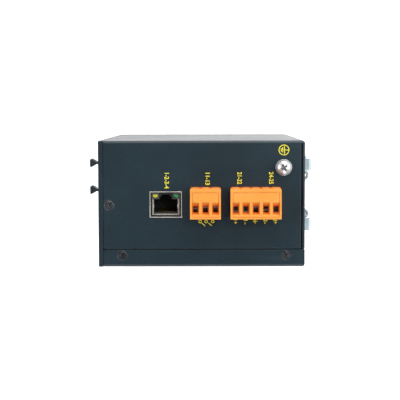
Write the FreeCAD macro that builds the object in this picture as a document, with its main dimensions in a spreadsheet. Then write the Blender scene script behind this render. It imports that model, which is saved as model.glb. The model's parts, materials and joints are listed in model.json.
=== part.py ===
import FreeCAD, Part
import os
import re

import Sketcher

# DIN rail Ethernet switch in a folded sheet metal case, with pluggable screw terminals on top.
#
# Frame: millimetres, +Z up. The origin is the centre of the case's flat underside. The front
# panel with the network ports faces -Y, the rail clip is on the rear, +Y. The terminal face is
# the top, and the circuit boards stand upright, parallel to the YZ plane.
#
# Every length below is one driving size, and every feature is bound to them by expressions.

SIZES = {
    # Case: a shell with the left side, top, bottom and rear, a tray with the right side, and a
    # flat front plate.
    "case_width": 65.0,
    "case_depth": 106.0,
    "case_height": 150.0,
    "sheet": 1.2,
    "bend_radius": 1.6,
    "front_thick": 2.3,
    "front_gap": 0.25,
    "front_corner": 0.7,
    "tray_flange": 9.0,
    "seam": 0.4,
    "flange_corner": 1.0,
    "corner_gap": 0.7,
    "tongue_width": 8.0,
    "tongue_lap": 5.0,
    "tongue_reach": 7.0,
    # Countersunk case screws.
    "sink_wide": 5.2,
    "screw_bore": 3.2,
    "flat_head": 4.6,
    "flat_rim": 0.15,
    "screw_shank": 2.9,
    "screw_long": 5.0,
    "screw_sunk": 0.1,
    "cover_screw_inset": 6.1,
    "cover_screw_front": -40.8,
    "cover_screw_rear": 43.4,
    "panel_screw_setback": 5.5,
    "panel_screw_offset": 0.5,
    "side_screw_drop": 28.0,
    "tab_width": 12.0,
    "tab_long": 8.5,
    # Ground screw with its washers and nut.
    "ground_across": -18.7,
    "ground_along": 42.1,
    "ground_bore": 4.5,
    "ground_head": 6.4,
    "ground_head_high": 2.4,
    "ground_head_round": 1.1,
    "ground_shank": 3.9,
    "ground_long": 8.0,
    "washer_wide": 8.4,
    "washer_bore": 4.3,
    "washer_thick": 0.8,
    "spring_wide": 7.0,
    "spring_thick": 1.0,
    "spring_split": 12.0,
    "ground_nut_flats": 7.0,
    "ground_nut_high": 3.0,
    "thread_play": 0.05,
    # Boards: the main board carries the connectors, the power board stands between it and
    # the tray.
    "board_face": 7.2,
    "board_thick": 1.6,
    "board_edge": 2.5,
    "board_top_room": 1.5,
    "spacer_long": 15.2,
    "spacer_wide": 5.0,
    "post_front": -28.0,
    "post_rear": 40.0,
    "post_low": 16.0,
    "post_drop": 34.0,
    "board_screw_head": 5.4,
    "board_screw_high": 1.8,
    "lead_bore": 1.5,
    # Shielded modular jacks.
    "jack_wide": 16.6,
    "jack_high": 13.45,
    "jack_deep": 14.2,
    "jack_seat": 0.2,
    "jack_proud": 0.35,
    "jack_along": -18.3,
    "jack_room": 0.15,
    "shield_wall": 0.4,
    "cavity_wide": 11.7,
    "cavity_high": 6.5,
    "cavity_deep": 12.0,
    "cavity_floor": 2.9,
    "latch_wide": 6.0,
    "latch_high": 1.6,
    "latch_slot_wide": 4.1,
    "latch_slot_high": 1.0,
    "lead_pitch": 1.02,
    "lead_wide": 0.4,
    "lead_thick": 0.35,
    "lead_rise": 1.2,
    "lead_back": 0.8,
    "lead_mouth": 1.2,
    "lamp_wide": 2.8,
    "lamp_high": 2.0,
    "lamp_deep": 3.0,
    "lamp_spread": 10.8,
    "lamp_level": 11.15,
    # Row of four network ports in the front panel.
    "port_pitch": 13.97,
    "port_deep": 18.0,
    "port_level": 70.0,
    # Pair of optical module bays with their dust plugs.
    "bay_pitch": 14.25,
    "bay_wide": 13.45,
    "bay_high": 8.7,
    "bay_wall": 0.5,
    "bay_inset": 19.2,
    "bay_drop": 19.5,
    "bay_long": 47.3,
    "bay_proud": 0.2,
    "dust_play": 0.15,
    "dust_deep": 12.0,
    "dust_flange": 1.0,
    "dust_seat": 0.1,
    "dust_grip_out": 4.5,
    "dust_grip_end": 2.25,
    "dust_grip_neck": 0.6,
    "dust_grip_root": 1.1,
    # Light pipes.
    "pipe_wide": 2.8,
    "pipe_pitch": 10.0,
    "pipe_across": 13.0,
    "pipe_proud": 0.6,
    "pipe_bar": 3.0,
    "pipe_play": 0.1,
    # Pluggable screw terminals.
    "pole_pitch": 5.08,
    "plug_high": 15.0,
    "plug_out": 11.0,
    "plug_margin": 0.15,
    "plug_gap": 0.1,
    "plug_lift": 0.2,
    "plug_in": 7.2,
    "plug_fit": 0.12,
    "fault_along": 2.1,
    "power_along": 27.6,
    "header_high": 8.5,
    "header_deep": 12.0,
    "header_wall": 0.9,
    "header_room": 0.2,
    "pin_size": 1.0,
    "pin_level": 4.2,
    "pin_inset": 1.4,
    "pin_tail": 1.2,
    "pin_short": 1.0,
    "pin_fit": 0.05,
    "sleeve_size": 2.6,
    "sleeve_bore": 1.5,
    "funnel_wide": 3.85,
    "funnel_inset": 1.95,
    "funnel_high": 6.75,
    "funnel_deep": 3.0,
    "window_wide": 2.4,
    "window_inset": 3.4,
    "window_high": 3.0,
    "front_wall": 0.9,
    "line_inset": 0.9,
    "line_inset_rear": 1.4,
    "line_wide": 0.3,
    "line_deep": 0.35,
    "ledge_out": 0.75,
    "ledge_high": 6.9,
    "ledge_lift": 0.5,
    "notch_radius": 1.3,
    "notch_deep": 0.55,
    # Rising cage clamps inside the plugs.
    "cage_wide": 3.9,
    "cage_deep": 4.8,
    "cage_wall": 0.5,
    "cage_nut": 1.2,
    "cage_base": 0.8,
    "cage_long": 7.0,
    "cage_play": 0.1,
    "cage_travel": 3.2,
    "cage_open_inset": 2.4,
    "strap_thick": 0.8,
    "strap_wide": 2.2,
    "strap_lift": 0.3,
    "strap_inset": 7.7,
    "clamp_head": 3.5,
    "clamp_head_high": 1.3,
    "clamp_head_play": 0.2,
    "clamp_sunk": 0.25,
    "clamp_shank": 2.6,
    "clamp_play": 0.1,
    "clamp_slot": 0.6,
    "clamp_slot_deep": 0.7,
    "clamp_tip_room": 0.1,
    # How far each cage already stands above its lowest place.
    "fault_rise_one": 2.5,
    "fault_rise_two": 3.1,
    "fault_rise_three": 3.1,
    "power_rise_one": 0.9,
    "power_rise_two": 0.9,
    "power_rise_three": 3.1,
    "power_rise_four": 1.7,
    "power_rise_five": 0.5,
    # Rail clip.
    "clip_across": -1.1,
    "clip_wide": 40.0,
    "clip_top": 100.0,
    "clip_thick": 1.2,
    "hook_reach": 7.4,
    "hook_wide": 6.8,
    "hook_lip": 4.5,
    "hook_bend": 1.6,
    "rail_high": 35.0,
    "rail_play": 4.2,
    "clip_screw_spread": 24.8,
    "clip_screw_drop": 14.0,
    "clip_screw_head": 5.8,
    "clip_screw_high": 3.0,
    "collar_wide": 5.6,
    "collar_high": 1.5,
    "wire_thick": 1.8,
    "wire_drop": 2.2,
    "wire_inset": 7.95,
    "wire_out": 1.4,
    "wire_bulge": 4.2,
    "wire_bulge_long": 2.2,
    "wire_slope": 2.4,
    "wire_room": 0.1,
    # Parts on the boards.
    "chip_wide": 16.0,
    "chip_high": 1.4,
    "sink_length": 30.0,
    "sink_base": 1.6,
    "sink_high": 9.0,
    "fin_thick": 1.0,
    "fin_pitch": 3.5,
    "chip_along": 10.0,
    "chip_level": 76.0,
    "core_wide": 24.0,
    "core_high": 12.0,
    "core_tall": 20.0,
    "coil_wide": 14.0,
    "coil_tall": 26.0,
    "core_level": 60.0,
    "core_along": 0.0,
    "can_wide": 10.0,
    "can_high": 12.5,
    "can_pitch": 13.0,
    "can_level": 100.0,
    "can_along": 10.0,
    "link_wide": 5.0,
    "link_tall": 30.0,
    "link_along": 30.0,
    "link_level": 62.0,
    "bay_link_high": 5.0,
    "bay_link_long": 8.0,
    "bay_link_gap": 0.5,
    "bay_board_lap": 1.0,
}

FAULT_RISES = ("fault_rise_one", "fault_rise_two", "fault_rise_three")
POWER_RISES = ("power_rise_one", "power_rise_two", "power_rise_three",
               "power_rise_four", "power_rise_five")
PORTS = 4
LEADS = 8
PIPES = 6

# Places that several pieces share, as expressions of the driving sizes.
LEFT = "(-case_width/2)"
RIGHT = "(case_width/2)"
FRONT = "(-case_depth/2)"
REAR = "(case_depth/2)"
TOP = "case_height"
WALL_FRONT = "(-case_depth/2+front_thick+front_gap)"
SHELL_EDGE = "(case_width/2-tray_flange-seam)"
TRAY_EDGE = "(case_width/2-tray_flange)"
COVER_SCREW_X = "(case_width/2-cover_screw_inset)"
PANEL_SCREW_Y = "(-case_depth/2+panel_screw_setback)"
POST_TOP = "(case_height-post_drop)"
SIDE_SCREW_ZS = ("(case_height-side_screw_drop)", "side_screw_drop")
BOARD_BACK = "(board_face+board_thick)"
POWER_FACE = "(board_face+board_thick+spacer_long)"
POWER_BACK = "(board_face+2*board_thick+spacer_long)"
JACK_X = "(board_face-jack_seat)"
BAY_X = "(-case_width/2+bay_inset)"
BAY_Z = "(case_height-bay_drop)"
BAY_FLOOR = "(case_height-bay_drop-bay_high/2-bay_wall)"
PLUG_X = "(board_face-plug_lift-plug_high)"
PLUG_TOP = "(case_height+plug_out)"
PIN_X = "(board_face-pin_level)"
PIN_Z = "(case_height-header_deep+pin_inset)"
HEADER_X = "(board_face-header_high)"
CAGE_CEILING = "(case_height+plug_out-funnel_deep-front_wall)"
CAGE_Z = "(case_height+plug_out-funnel_deep-front_wall-cage_play-cage_deep/2)"
CAGE_LOW = "(board_face-plug_lift-cage_open_inset)"
STRAP_X = "(board_face-plug_lift-plug_high+strap_inset)"
SLEEVE_TOP = "(case_height+strap_lift)"
HEAD_SEAT = "(board_face-plug_lift-plug_high+clamp_sunk+clamp_head_high)"
CLIP_BOTTOM = "(clip_top-rail_high-rail_play-2*clip_thick)"
CLIP_SCREW_Z = "(clip_top-clip_screw_drop)"

doc = FreeCAD.newDocument("RailSwitch")
sheet = doc.addObject("Spreadsheet::Sheet", "Sizes")
for row, (alias, value) in enumerate(SIZES.items(), 1):
    sheet.set(f"A{row}", alias)
    sheet.set(f"B{row}", str(value))
    sheet.setAlias(f"B{row}", alias)
doc.recompute()

parts = []


def tied(text):
    """Write an expression with every size name pointing at the sheet."""
    def point(word):
        return "Sizes." + word.group() if word.group() in SIZES else word.group()
    return re.sub(r"[a-z][a-z_]*", point, text)


def bind(thing, **sizes):
    """Tie properties of an object to expressions; a double underscore stands for a dot."""
    for name, text in sizes.items():
        thing.setExpression(name.replace("__", "."), tied(text))


def place(thing, x="0", y="0", z="0", axis=None, angle=0):
    """Turn an object about its own origin and tie that origin to a place."""
    if axis:
        thing.Placement = FreeCAD.Placement(FreeCAD.Vector(), FreeCAD.Rotation(axis, angle))
    bind(thing, Placement__Base__x=x, Placement__Base__y=y, Placement__Base__z=z)
    return thing


X_AXIS = FreeCAD.Vector(1, 0, 0)
Y_AXIS = FreeCAD.Vector(0, 1, 0)
Z_AXIS = FreeCAD.Vector(0, 0, 1)


def rect(across0, across1, up0, up1):
    """Corners of a rectangle between four stated sides."""
    return [(across0, up0), (across1, up0), (across1, up1), (across0, up1)]


def centred(across, up, wide, high):
    """Corners of a rectangle about a stated centre."""
    return rect(f"{across}-({wide})/2", f"{across}+({wide})/2",
                f"{up}-({high})/2", f"{up}+({high})/2")


class Piece:
    """A PartDesign body whose sketches lie on its own origin planes.

    Spans are given along the axis that the sketch plane faces, lower place first.
    """

    def __init__(self, label, kept=True):
        self.body = doc.addObject("PartDesign::Body", label)
        self.body.Label = label
        self.label = label
        self.count = 0
        if kept:
            parts.append(self.body)

    def new(self, kind):
        self.count += 1
        return self.body.newObject(kind, f"{self.label}_{kind.split('::')[1].lower()}_{self.count}")

    def sketch(self, plane, place_along, outlines):
        """Draw closed outlines (corner lists) and circles (x, y, radius) on an origin plane."""
        sketch = self.new("Sketcher::SketchObject")
        datum = [item for item in self.body.Origin.OriginFeatures if item.Role == plane][0]
        sketch.AttachmentSupport = (datum, [""])
        sketch.MapMode = "FlatFace"
        sign = "-" if plane == "XZ_Plane" else ""
        bind(sketch, AttachmentOffset__Base__z=f"{sign}({place_along})")
        for outline in outlines:
            if isinstance(outline, list):
                self.corners(sketch, outline)
            else:
                self.circle(sketch, *outline)
        return sketch

    def hold(self, sketch, kind, geometry, point, text):
        if kind == "Radius":
            index = sketch.addConstraint(Sketcher.Constraint(kind, geometry, 1.0))
        else:
            index = sketch.addConstraint(Sketcher.Constraint(kind, -1, 1, geometry, point, 1.0))
        bind(sketch, **{f"Constraints[{index}]": text})

    def corners(self, sketch, outline, closed=True):
        first = sketch.GeometryCount
        count = len(outline)
        turn = FreeCAD.Rotation(Z_AXIS, 360 / count)
        points = [FreeCAD.Vector(10, 0, 0)]
        for _ in range(count - 1):
            points.append(turn.multVec(points[-1]))
        sides = count if closed else count - 1
        sketch.addGeometry([Part.LineSegment(points[k], points[(k + 1) % count])
                            for k in range(sides)])
        for k in range(sides if closed else sides - 1):
            after = first + (k + 1) % count
            sketch.addConstraint(Sketcher.Constraint("Coincident", first + k, 2, after, 1))
        for k, (across, up) in enumerate(outline):
            geometry, point = (first + k, 1) if k < sides else (first + k - 1, 2)
            self.hold(sketch, "DistanceX", geometry, point, across)
            self.hold(sketch, "DistanceY", geometry, point, up)

    def circle(self, sketch, across, up, radius):
        ring = Part.Circle(FreeCAD.Vector(1, 1, 0), Z_AXIS, 2.0)
        geometry = sketch.addGeometry(ring)
        self.hold(sketch, "DistanceX", geometry, 3, across)
        self.hold(sketch, "DistanceY", geometry, 3, up)
        self.hold(sketch, "Radius", geometry, 0, radius)

    def pad(self, plane, low, high, outlines):
        """Add material between two places along the plane's axis."""
        start = high if plane == "XZ_Plane" else low
        profile = self.sketch(plane, start, outlines)
        pad = self.new("PartDesign::Pad")
        pad.Profile = profile
        bind(pad, Length=f"({high})-({low})")
        doc.recompute()
        return pad

    def pocket(self, plane, low, high, outlines):
        """Cut material away between two places along the plane's axis."""
        before = self.body.Shape.Volume
        start = low if plane == "XZ_Plane" else high
        profile = self.sketch(plane, start, outlines)
        pocket = self.new("PartDesign::Pocket")
        pocket.Profile = profile
        bind(pocket, Length=f"({high})-({low})")
        doc.recompute()
        if not self.body.Shape.Volume < before:
            raise RuntimeError(f"{self.label}: {pocket.Name} cuts nothing")
        return pocket

    def revolve(self, outline, angle="360"):
        """Turn an outline of (radius, height) about the body's own Z axis."""
        profile = self.sketch("XZ_Plane", "0", [outline])
        turned = self.new("PartDesign::Revolution")
        turned.Profile = profile
        turned.ReferenceAxis = (profile, ["V_Axis"])
        bind(turned, Angle=angle)
        doc.recompute()
        return turned

    def loft_cut(self, low, low_outline, high, high_outline):
        """Cut a tapered opening between two outlines at two heights."""
        profile = self.sketch("XY_Plane", high, [high_outline])
        section = self.sketch("XY_Plane", low, [low_outline])
        loft = self.new("PartDesign::SubtractiveLoft")
        loft.Profile = profile
        loft.Sections = [section]
        loft.Ruled = True
        doc.recompute()
        return loft

    def repeat(self, features, axis, step, copies):
        """Repeat features at an even step along an origin axis of the body."""
        pattern = self.new("PartDesign::LinearPattern")
        pattern.Originals = features
        line = [item for item in self.body.Origin.OriginFeatures if item.Role == axis][0]
        pattern.Direction = (line, [""])
        pattern.Occurrences = copies
        bind(pattern, Length=f"({step})*{copies - 1}")
        self.body.Tip = pattern
        doc.recompute()
        return pattern

    def sink(self, plane, place_along, circles, reverse):
        """Drill countersunk screw holes into the sheet."""
        profile = self.sketch(plane, place_along, circles)
        doc.recompute()
        hole = self.new("PartDesign::Hole")
        hole.Profile = profile
        doc.recompute()
        hole.DepthType = "Dimension"
        hole.DrillPoint = "Flat"
        hole.HoleCutType = "Countersink"
        hole.HoleCutCustomValues = True
        hole.HoleCutCountersinkAngle = 90
        hole.Reversed = reverse
        bind(hole, Depth="2*sheet", Diameter="screw_bore", HoleCutDiameter="sink_wide")
        doc.recompute()
        return hole

    def round_edges(self, radius, wanted):
        """Round the edges for which the test of (middle, direction) holds."""
        tip = self.body.Tip
        names = []
        for index, edge in enumerate(tip.Shape.Edges, 1):
            if len(edge.Vertexes) == 2 and wanted(edge.BoundBox):
                names.append(f"Edge{index}")
        if not names:
            raise RuntimeError(f"{self.label}: no edge to round")
        fillet = self.new("PartDesign::Fillet")
        fillet.Base = (tip, names)
        bind(fillet, Radius=radius)
        doc.recompute()
        return fillet


def near(value, wanted):
    return abs(value - wanted) < 0.01


def along(box, axis, **at):
    """Say whether an edge runs along one axis only, at the stated other places."""
    spans = {"x": box.XLength, "y": box.YLength, "z": box.ZLength}
    middle = {"x": box.Center.x, "y": box.Center.y, "z": box.Center.z}
    straight = all(near(span, 0) != (name == axis) for name, span in spans.items())
    return straight and all(near(middle[name], value) for name, value in at.items())


def group(label, master, placements):
    """One node of identical separate solids, each a link to the same form."""
    links = []
    for index, (x, y, z, axis, angle) in enumerate(placements, 1):
        link = doc.addObject("App::Link", f"{label}_{index}")
        link.LinkedObject = master
        links.append(place(link, x, y, z, axis, angle))
    cluster = doc.addObject("Part::Compound", label)
    cluster.Label = label
    cluster.Links = links
    parts.append(cluster)
    return cluster


# ---------------------------------------------------------------- case

shell = Piece("chassis")
shell.pad("XZ_Plane", WALL_FRONT, REAR, [rect(LEFT, SHELL_EDGE, "0", TOP)])
left, right = -SIZES["case_width"] / 2, SIZES["case_width"] / 2
rear, top = SIZES["case_depth"] / 2, SIZES["case_height"]
shell.round_edges("bend_radius", lambda b: along(b, "y", x=left) or along(b, "z", x=left, y=rear))
shell.pocket("YZ_Plane", f"{LEFT}+sheet", SHELL_EDGE,
             [rect(FRONT, f"{REAR}-sheet", "sheet", f"{TOP}-sheet")])
inner = left + SIZES["sheet"]
inner_rear = rear - SIZES["sheet"]
shell.round_edges("bend_radius-sheet",
                  lambda b: along(b, "y", x=inner) or along(b, "z", x=inner, y=inner_rear))
relief = rect(f"{LEFT}+bend_radius", SHELL_EDGE, f"{REAR}-sheet-corner_gap", f"{REAR}-sheet")
shell.pocket("XY_Plane", f"{TOP}-sheet", TOP, [relief])
shell.pocket("XY_Plane", "0", "sheet", [relief])
# Tongues under the tray's flanges take the case screws.
tongues = [rect(f"{SHELL_EDGE}-tongue_lap", f"{SHELL_EDGE}+tongue_reach",
                f"{y}-tongue_width/2", f"{y}+tongue_width/2")
           for y in ("cover_screw_front", "cover_screw_rear")]
cover_holes = [(COVER_SCREW_X, y, "screw_bore/2") for y in ("cover_screw_front", "cover_screw_rear")]
for low, high in ((f"{TOP}-2*sheet", f"{TOP}-sheet"), ("sheet", "2*sheet")):
    shell.pad("XY_Plane", low, high, tongues)
    shell.pocket("XY_Plane", low, high, cover_holes)
# Openings of the terminal face.
shell.pocket("XY_Plane", f"{TOP}-sheet", TOP, [
    rect(f"{JACK_X}-jack_high-jack_room", f"{JACK_X}+jack_room",
         "jack_along-jack_wide/2-jack_room", "jack_along+jack_wide/2+jack_room"),
    rect(f"{HEADER_X}-header_room", "board_face+header_room",
         "fault_along-1.5*pole_pitch-header_room", "fault_along+1.5*pole_pitch+header_room"),
    rect(f"{HEADER_X}-header_room", "board_face+header_room",
         "power_along-2.5*pole_pitch-header_room", "power_along+2.5*pole_pitch+header_room"),
    ("ground_across", "ground_along", "ground_bore/2")])
shell.sink("XY_Plane", TOP, [("panel_screw_offset", PANEL_SCREW_Y, "screw_bore/2")], False)
shell.sink("XY_Plane", "0", [("panel_screw_offset", PANEL_SCREW_Y, "screw_bore/2")], True)
shell.sink("YZ_Plane", LEFT, [(PANEL_SCREW_Y, z, "screw_bore/2") for z in SIDE_SCREW_ZS], True)
# Drawn collars on the rear wall hold the threads of the rail clip's screws.
clip_holes = [(f"clip_across{sign}clip_screw_spread/2", CLIP_SCREW_Z) for sign in "-+"]
shell.pad("XZ_Plane", f"{REAR}-sheet-collar_high", f"{REAR}-sheet",
          [(x, z, "collar_wide/2") for x, z in clip_holes])
shell.pocket("XZ_Plane", f"{REAR}-sheet-collar_high", REAR,
             [(x, z, "screw_bore/2") for x, z in clip_holes])

tray = Piece("base_tray")
tray.pad("XZ_Plane", WALL_FRONT, REAR, [rect(TRAY_EDGE, RIGHT, "0", TOP)])
tray.round_edges("bend_radius", lambda b: along(b, "y", x=right) or along(b, "z", x=right, y=rear))
tray.pocket("YZ_Plane", TRAY_EDGE, f"{RIGHT}-sheet",
            [rect(FRONT, f"{REAR}-sheet", "sheet", f"{TOP}-sheet")])
tray_edge = right - SIZES["tray_flange"]
wall_front = -rear + SIZES["front_thick"] + SIZES["front_gap"]
tray.round_edges("flange_corner", lambda b: along(b, "z", x=tray_edge, y=wall_front))
tray.sink("XY_Plane", TOP, cover_holes, False)
tray.sink("XY_Plane", "0", cover_holes, True)

# The front plate has folded tabs behind it, one for each of its screws.
panel = Piece("front_panel")
panel_back = f"({FRONT}+front_thick)"
panel.pad("XZ_Plane", FRONT, panel_back, [rect(LEFT, RIGHT, "0", TOP)])
panel.round_edges("front_corner", lambda b: along(b, "y"))
panel.pocket("XZ_Plane", FRONT, panel_back, [
    rect(f"{JACK_X}-jack_high-jack_room", f"{JACK_X}+jack_room",
         f"port_level-({PORTS - 1})*port_pitch/2-jack_wide/2-jack_room",
         f"port_level+({PORTS - 1})*port_pitch/2+jack_wide/2+jack_room"),
    centred(BAY_X, BAY_Z, "bay_pitch+bay_wide+2*bay_wall+2*jack_room",
            "bay_high+2*bay_wall+2*jack_room")]
    + [("pipe_across", f"port_level+({k}-{(PIPES - 1) / 2})*pipe_pitch", "pipe_wide/2+pipe_play")
       for k in range(PIPES)])
tab = rect("panel_screw_offset-tab_width/2", "panel_screw_offset+tab_width/2",
           f"{panel_back}-sheet", f"{panel_back}+tab_long")
for low, high in ((f"{TOP}-2*sheet", f"{TOP}-sheet"), ("sheet", "2*sheet")):
    panel.pad("XY_Plane", low, high, [tab])
    panel.pocket("XY_Plane", low, high, [("panel_screw_offset", PANEL_SCREW_Y, "screw_bore/2")])
panel.pad("YZ_Plane", f"{LEFT}+sheet", f"{LEFT}+2*sheet",
          [rect(f"{panel_back}-sheet", f"{panel_back}+tab_long", f"{z}-tab_width/2",
                f"{z}+tab_width/2") for z in SIDE_SCREW_ZS])
panel.pocket("YZ_Plane", f"{LEFT}+sheet", f"{LEFT}+2*sheet",
             [(PANEL_SCREW_Y, z, "screw_bore/2") for z in SIDE_SCREW_ZS])

# ---------------------------------------------------------------- fasteners

flat_screw = Piece("flat_screw_form", kept=False)
flat_screw.revolve([("0", "0"), ("flat_head/2", "0"), ("flat_head/2", "-flat_rim"),
                    ("screw_shank/2", "-flat_rim-flat_head/2+screw_shank/2"),
                    ("screw_shank/2", "-screw_long"), ("0", "-screw_long")])
group("cover_screws", flat_screw.body,
      [(COVER_SCREW_X, y, f"{TOP}-screw_sunk", None, 0)
       for y in ("cover_screw_front", "cover_screw_rear")]
      + [(COVER_SCREW_X, y, "screw_sunk", X_AXIS, 180)
         for y in ("cover_screw_front", "cover_screw_rear")])
group("front_panel_screws", flat_screw.body,
      [("panel_screw_offset", PANEL_SCREW_Y, f"{TOP}-screw_sunk", None, 0),
       ("panel_screw_offset", PANEL_SCREW_Y, "screw_sunk", X_AXIS, 180)]
      + [(f"{LEFT}+screw_sunk", PANEL_SCREW_Y, z, Y_AXIS, -90) for z in SIDE_SCREW_ZS])

flat_washer = Piece("ground_flat_washer")
flat_washer.revolve(rect("washer_bore/2", "washer_wide/2", "0", "washer_thick"))
place(flat_washer.body, "ground_across", "ground_along", TOP)

# The spring washer is one turn with a split.
spring_washer = Piece("ground_spring_washer")
spring_washer.revolve(rect("washer_bore/2", "spring_wide/2", "0", "spring_thick"),
                      "360-spring_split")
place(spring_washer.body, "ground_across", "ground_along", f"{TOP}+washer_thick", Z_AXIS, 38)

ground_screw = Piece("ground_screw")
ground_screw.revolve([("0", "-ground_long"), ("ground_shank/2", "-ground_long"),
                      ("ground_shank/2", "0"), ("ground_head/2", "0"),
                      ("ground_head/2", "ground_head_high-ground_head_round"),
                      ("ground_head/2-ground_head_round/3", "ground_head_high-ground_head_round/3"),
                      ("ground_head/2-ground_head_round", "ground_head_high"),
                      ("0", "ground_head_high")])
place(ground_screw.body, "ground_across", "ground_along", f"{TOP}+washer_thick+spring_thick")

ground_nut = Piece("ground_nut")
nut_half = "ground_nut_flats/2"
nut_tip = "ground_nut_flats/sqrt(3)"
nut_mid = "ground_nut_flats/sqrt(12)"
ground_nut.pad("XY_Plane", f"{TOP}-sheet-ground_nut_high", f"{TOP}-sheet", [
    [(f"ground_across+{nut_tip}", "ground_along"),
     (f"ground_across+{nut_mid}", f"ground_along+{nut_half}"),
     (f"ground_across-{nut_mid}", f"ground_along+{nut_half}"),
     (f"ground_across-{nut_tip}", "ground_along"),
     (f"ground_across-{nut_mid}", f"ground_along-{nut_half}"),
     (f"ground_across+{nut_mid}", f"ground_along-{nut_half}")],
    ("ground_across", "ground_along", "ground_shank/2+thread_play")])

# ---------------------------------------------------------------- boards

FAULT_YS = [f"(fault_along+({k}-1)*pole_pitch)" for k in range(3)]
POWER_YS = [f"(power_along+({k}-2)*pole_pitch)" for k in range(5)]
POSTS = [(y, z) for y in ("post_front", "post_rear") for z in ("post_low", POST_TOP)]

main_board = Piece("main_board")
main_board.pad("YZ_Plane", "board_face", BOARD_BACK, [
    rect(f"{FRONT}+front_thick+board_edge", f"{REAR}-sheet-board_edge", "sheet+board_edge",
         f"{TOP}-sheet-board_top_room")]
    + [(y, PIN_Z, "lead_bore/2") for y in FAULT_YS + POWER_YS]
    + [(y, z, "screw_bore/2") for y, z in POSTS])

power_board = Piece("power_board")
power_board.pad("YZ_Plane", POWER_FACE, POWER_BACK, [
    rect("post_front-board_edge-spacer_wide", "post_rear+board_edge+spacer_wide",
         "post_low-board_edge-spacer_wide", f"{POST_TOP}+board_edge+spacer_wide")])

spacer = Piece("spacer_form", kept=False)
spacer.pad("YZ_Plane", "0", "spacer_long", [("0", "0", "spacer_wide/2"), ("0", "0", "screw_shank/2")])
group("board_spacers", spacer.body, [(BOARD_BACK, y, z, None, 0) for y, z in POSTS])

post = Piece("post_form", kept=False)
post.pad("YZ_Plane", POWER_BACK, f"{RIGHT}-sheet", [("0", "0", "spacer_wide/2")])
group("board_posts", post.body, [("0", y, z, None, 0) for y, z in POSTS])

board_screw = Piece("board_screw_form", kept=False)
board_screw.revolve([("0", "-screw_long"), ("screw_shank/2-thread_play", "-screw_long"),
                     ("screw_shank/2-thread_play", "0"), ("board_screw_head/2", "0"),
                     ("board_screw_head/2", "board_screw_high"), ("0", "board_screw_high")])
group("board_screws", board_screw.body,
      [("board_face", y, z, Y_AXIS, -90) for y, z in POSTS])

# The switch chip with its finned heat sink.
chip = Piece("switch_chip")
chip.pad("YZ_Plane", "board_face-chip_high", "board_face",
         [centred("chip_along", "chip_level", "chip_wide", "chip_wide")])
sink = Piece("heat_sink")
sink_x = "(board_face-chip_high-sink_base)"
sink.pad("YZ_Plane", sink_x, f"{sink_x}+sink_base",
         [centred("chip_along", "chip_level", "sink_length", "sink_length")])
fin = sink.pad("YZ_Plane", f"{sink_x}-sink_high", sink_x,
               [rect("chip_along-sink_length/2", "chip_along-sink_length/2+fin_thick",
                     "chip_level-sink_length/2", "chip_level+sink_length/2")])
sink.repeat([fin], "Y_Axis", "fin_pitch", 9)

# Transformer: a laminated core round a taller coil, both seated on the power board.
coil = Piece("transformer")
coil.pad("YZ_Plane", f"{POWER_FACE}-core_high", POWER_FACE,
         [centred("core_along", "core_level", "core_wide", "core_tall")])
coil.pad("YZ_Plane", f"{POWER_FACE}-core_high*0.9", f"{POWER_FACE}-core_high*0.1",
         [centred("core_along", "core_level", "coil_wide", "coil_tall")])

can = Piece("can_form", kept=False)
can.pad("YZ_Plane", "-can_high", "0", [("0", "0", "can_wide/2")])
group("capacitors", can.body,
      [(POWER_FACE, f"can_along+({k}-0.5)*can_pitch", "can_level", None, 0) for k in range(2)])

link = Piece("board_link")
link.pad("YZ_Plane", BOARD_BACK, POWER_FACE,
         [centred("link_along", "link_level", "link_wide", "link_tall")])

# ---------------------------------------------------------------- modular jacks
#
# A jack row stands in a frame of its own: its mouth faces +Z at height 0, its board side is
# X = 0 and its ports lie side by side along Y.


def port_ys(ports):
    return [f"({k}-{(ports - 1) / 2})*port_pitch" for k in range(ports)]


def jack_row(name, ports, deep, lamps):
    """Shield and moulded housing of a row of jacks, in the row's own frame."""
    wide = f"({ports - 1}*port_pitch+jack_wide)"
    shield = Piece(f"{name}_shield")
    shield.pad("XY_Plane", f"-{deep}", "0", [rect("-jack_high", "0", f"-{wide}/2", f"{wide}/2")])
    inside = rect("-jack_high+shield_wall", "-shield_wall",
                  f"-{wide}/2+shield_wall", f"{wide}/2-shield_wall")
    shield.pocket("XY_Plane", f"-{deep}+shield_wall", "0", [inside])
    housing = Piece(f"{name}_housing")
    housing.pad("XY_Plane", f"-{deep}+shield_wall", "-shield_wall/2", [inside])
    deck = "(-cavity_floor)"
    roof = "(-cavity_floor-cavity_high)"
    step = "(-cavity_floor-cavity_high-latch_high)"
    peak = "(-cavity_floor-cavity_high-latch_high-latch_slot_high)"
    outlines = []
    for y in port_ys(ports):
        half = ((deck, "cavity_wide"), (roof, "cavity_wide"), (roof, "latch_wide"),
                (step, "latch_wide"), (step, "latch_slot_wide"), (peak, "latch_slot_wide"))
        outlines.append([(x, f"{y}+{w}/2") for x, w in half]
                        + [(x, f"{y}-{w}/2") for x, w in reversed(half)])
    housing.pocket("XY_Plane", "-cavity_deep", "0", outlines)
    if lamps:
        housing.pocket("XY_Plane", "-lamp_deep", "0", [
            centred("-lamp_level", f"{sign}lamp_spread/2", "lamp_high", "lamp_wide")
            for sign in "-+"])
    return shield, housing


def jack_leads(label, ports):
    """Sloping contact strips on the floor of each port, as one group of separate solids."""
    return group(label, lead.body,
                 [("0", f"{y}+({k}-{(LEADS - 1) / 2})*lead_pitch", "0", None, 0)
                  for y in port_ys(ports) for k in range(LEADS)])


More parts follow.
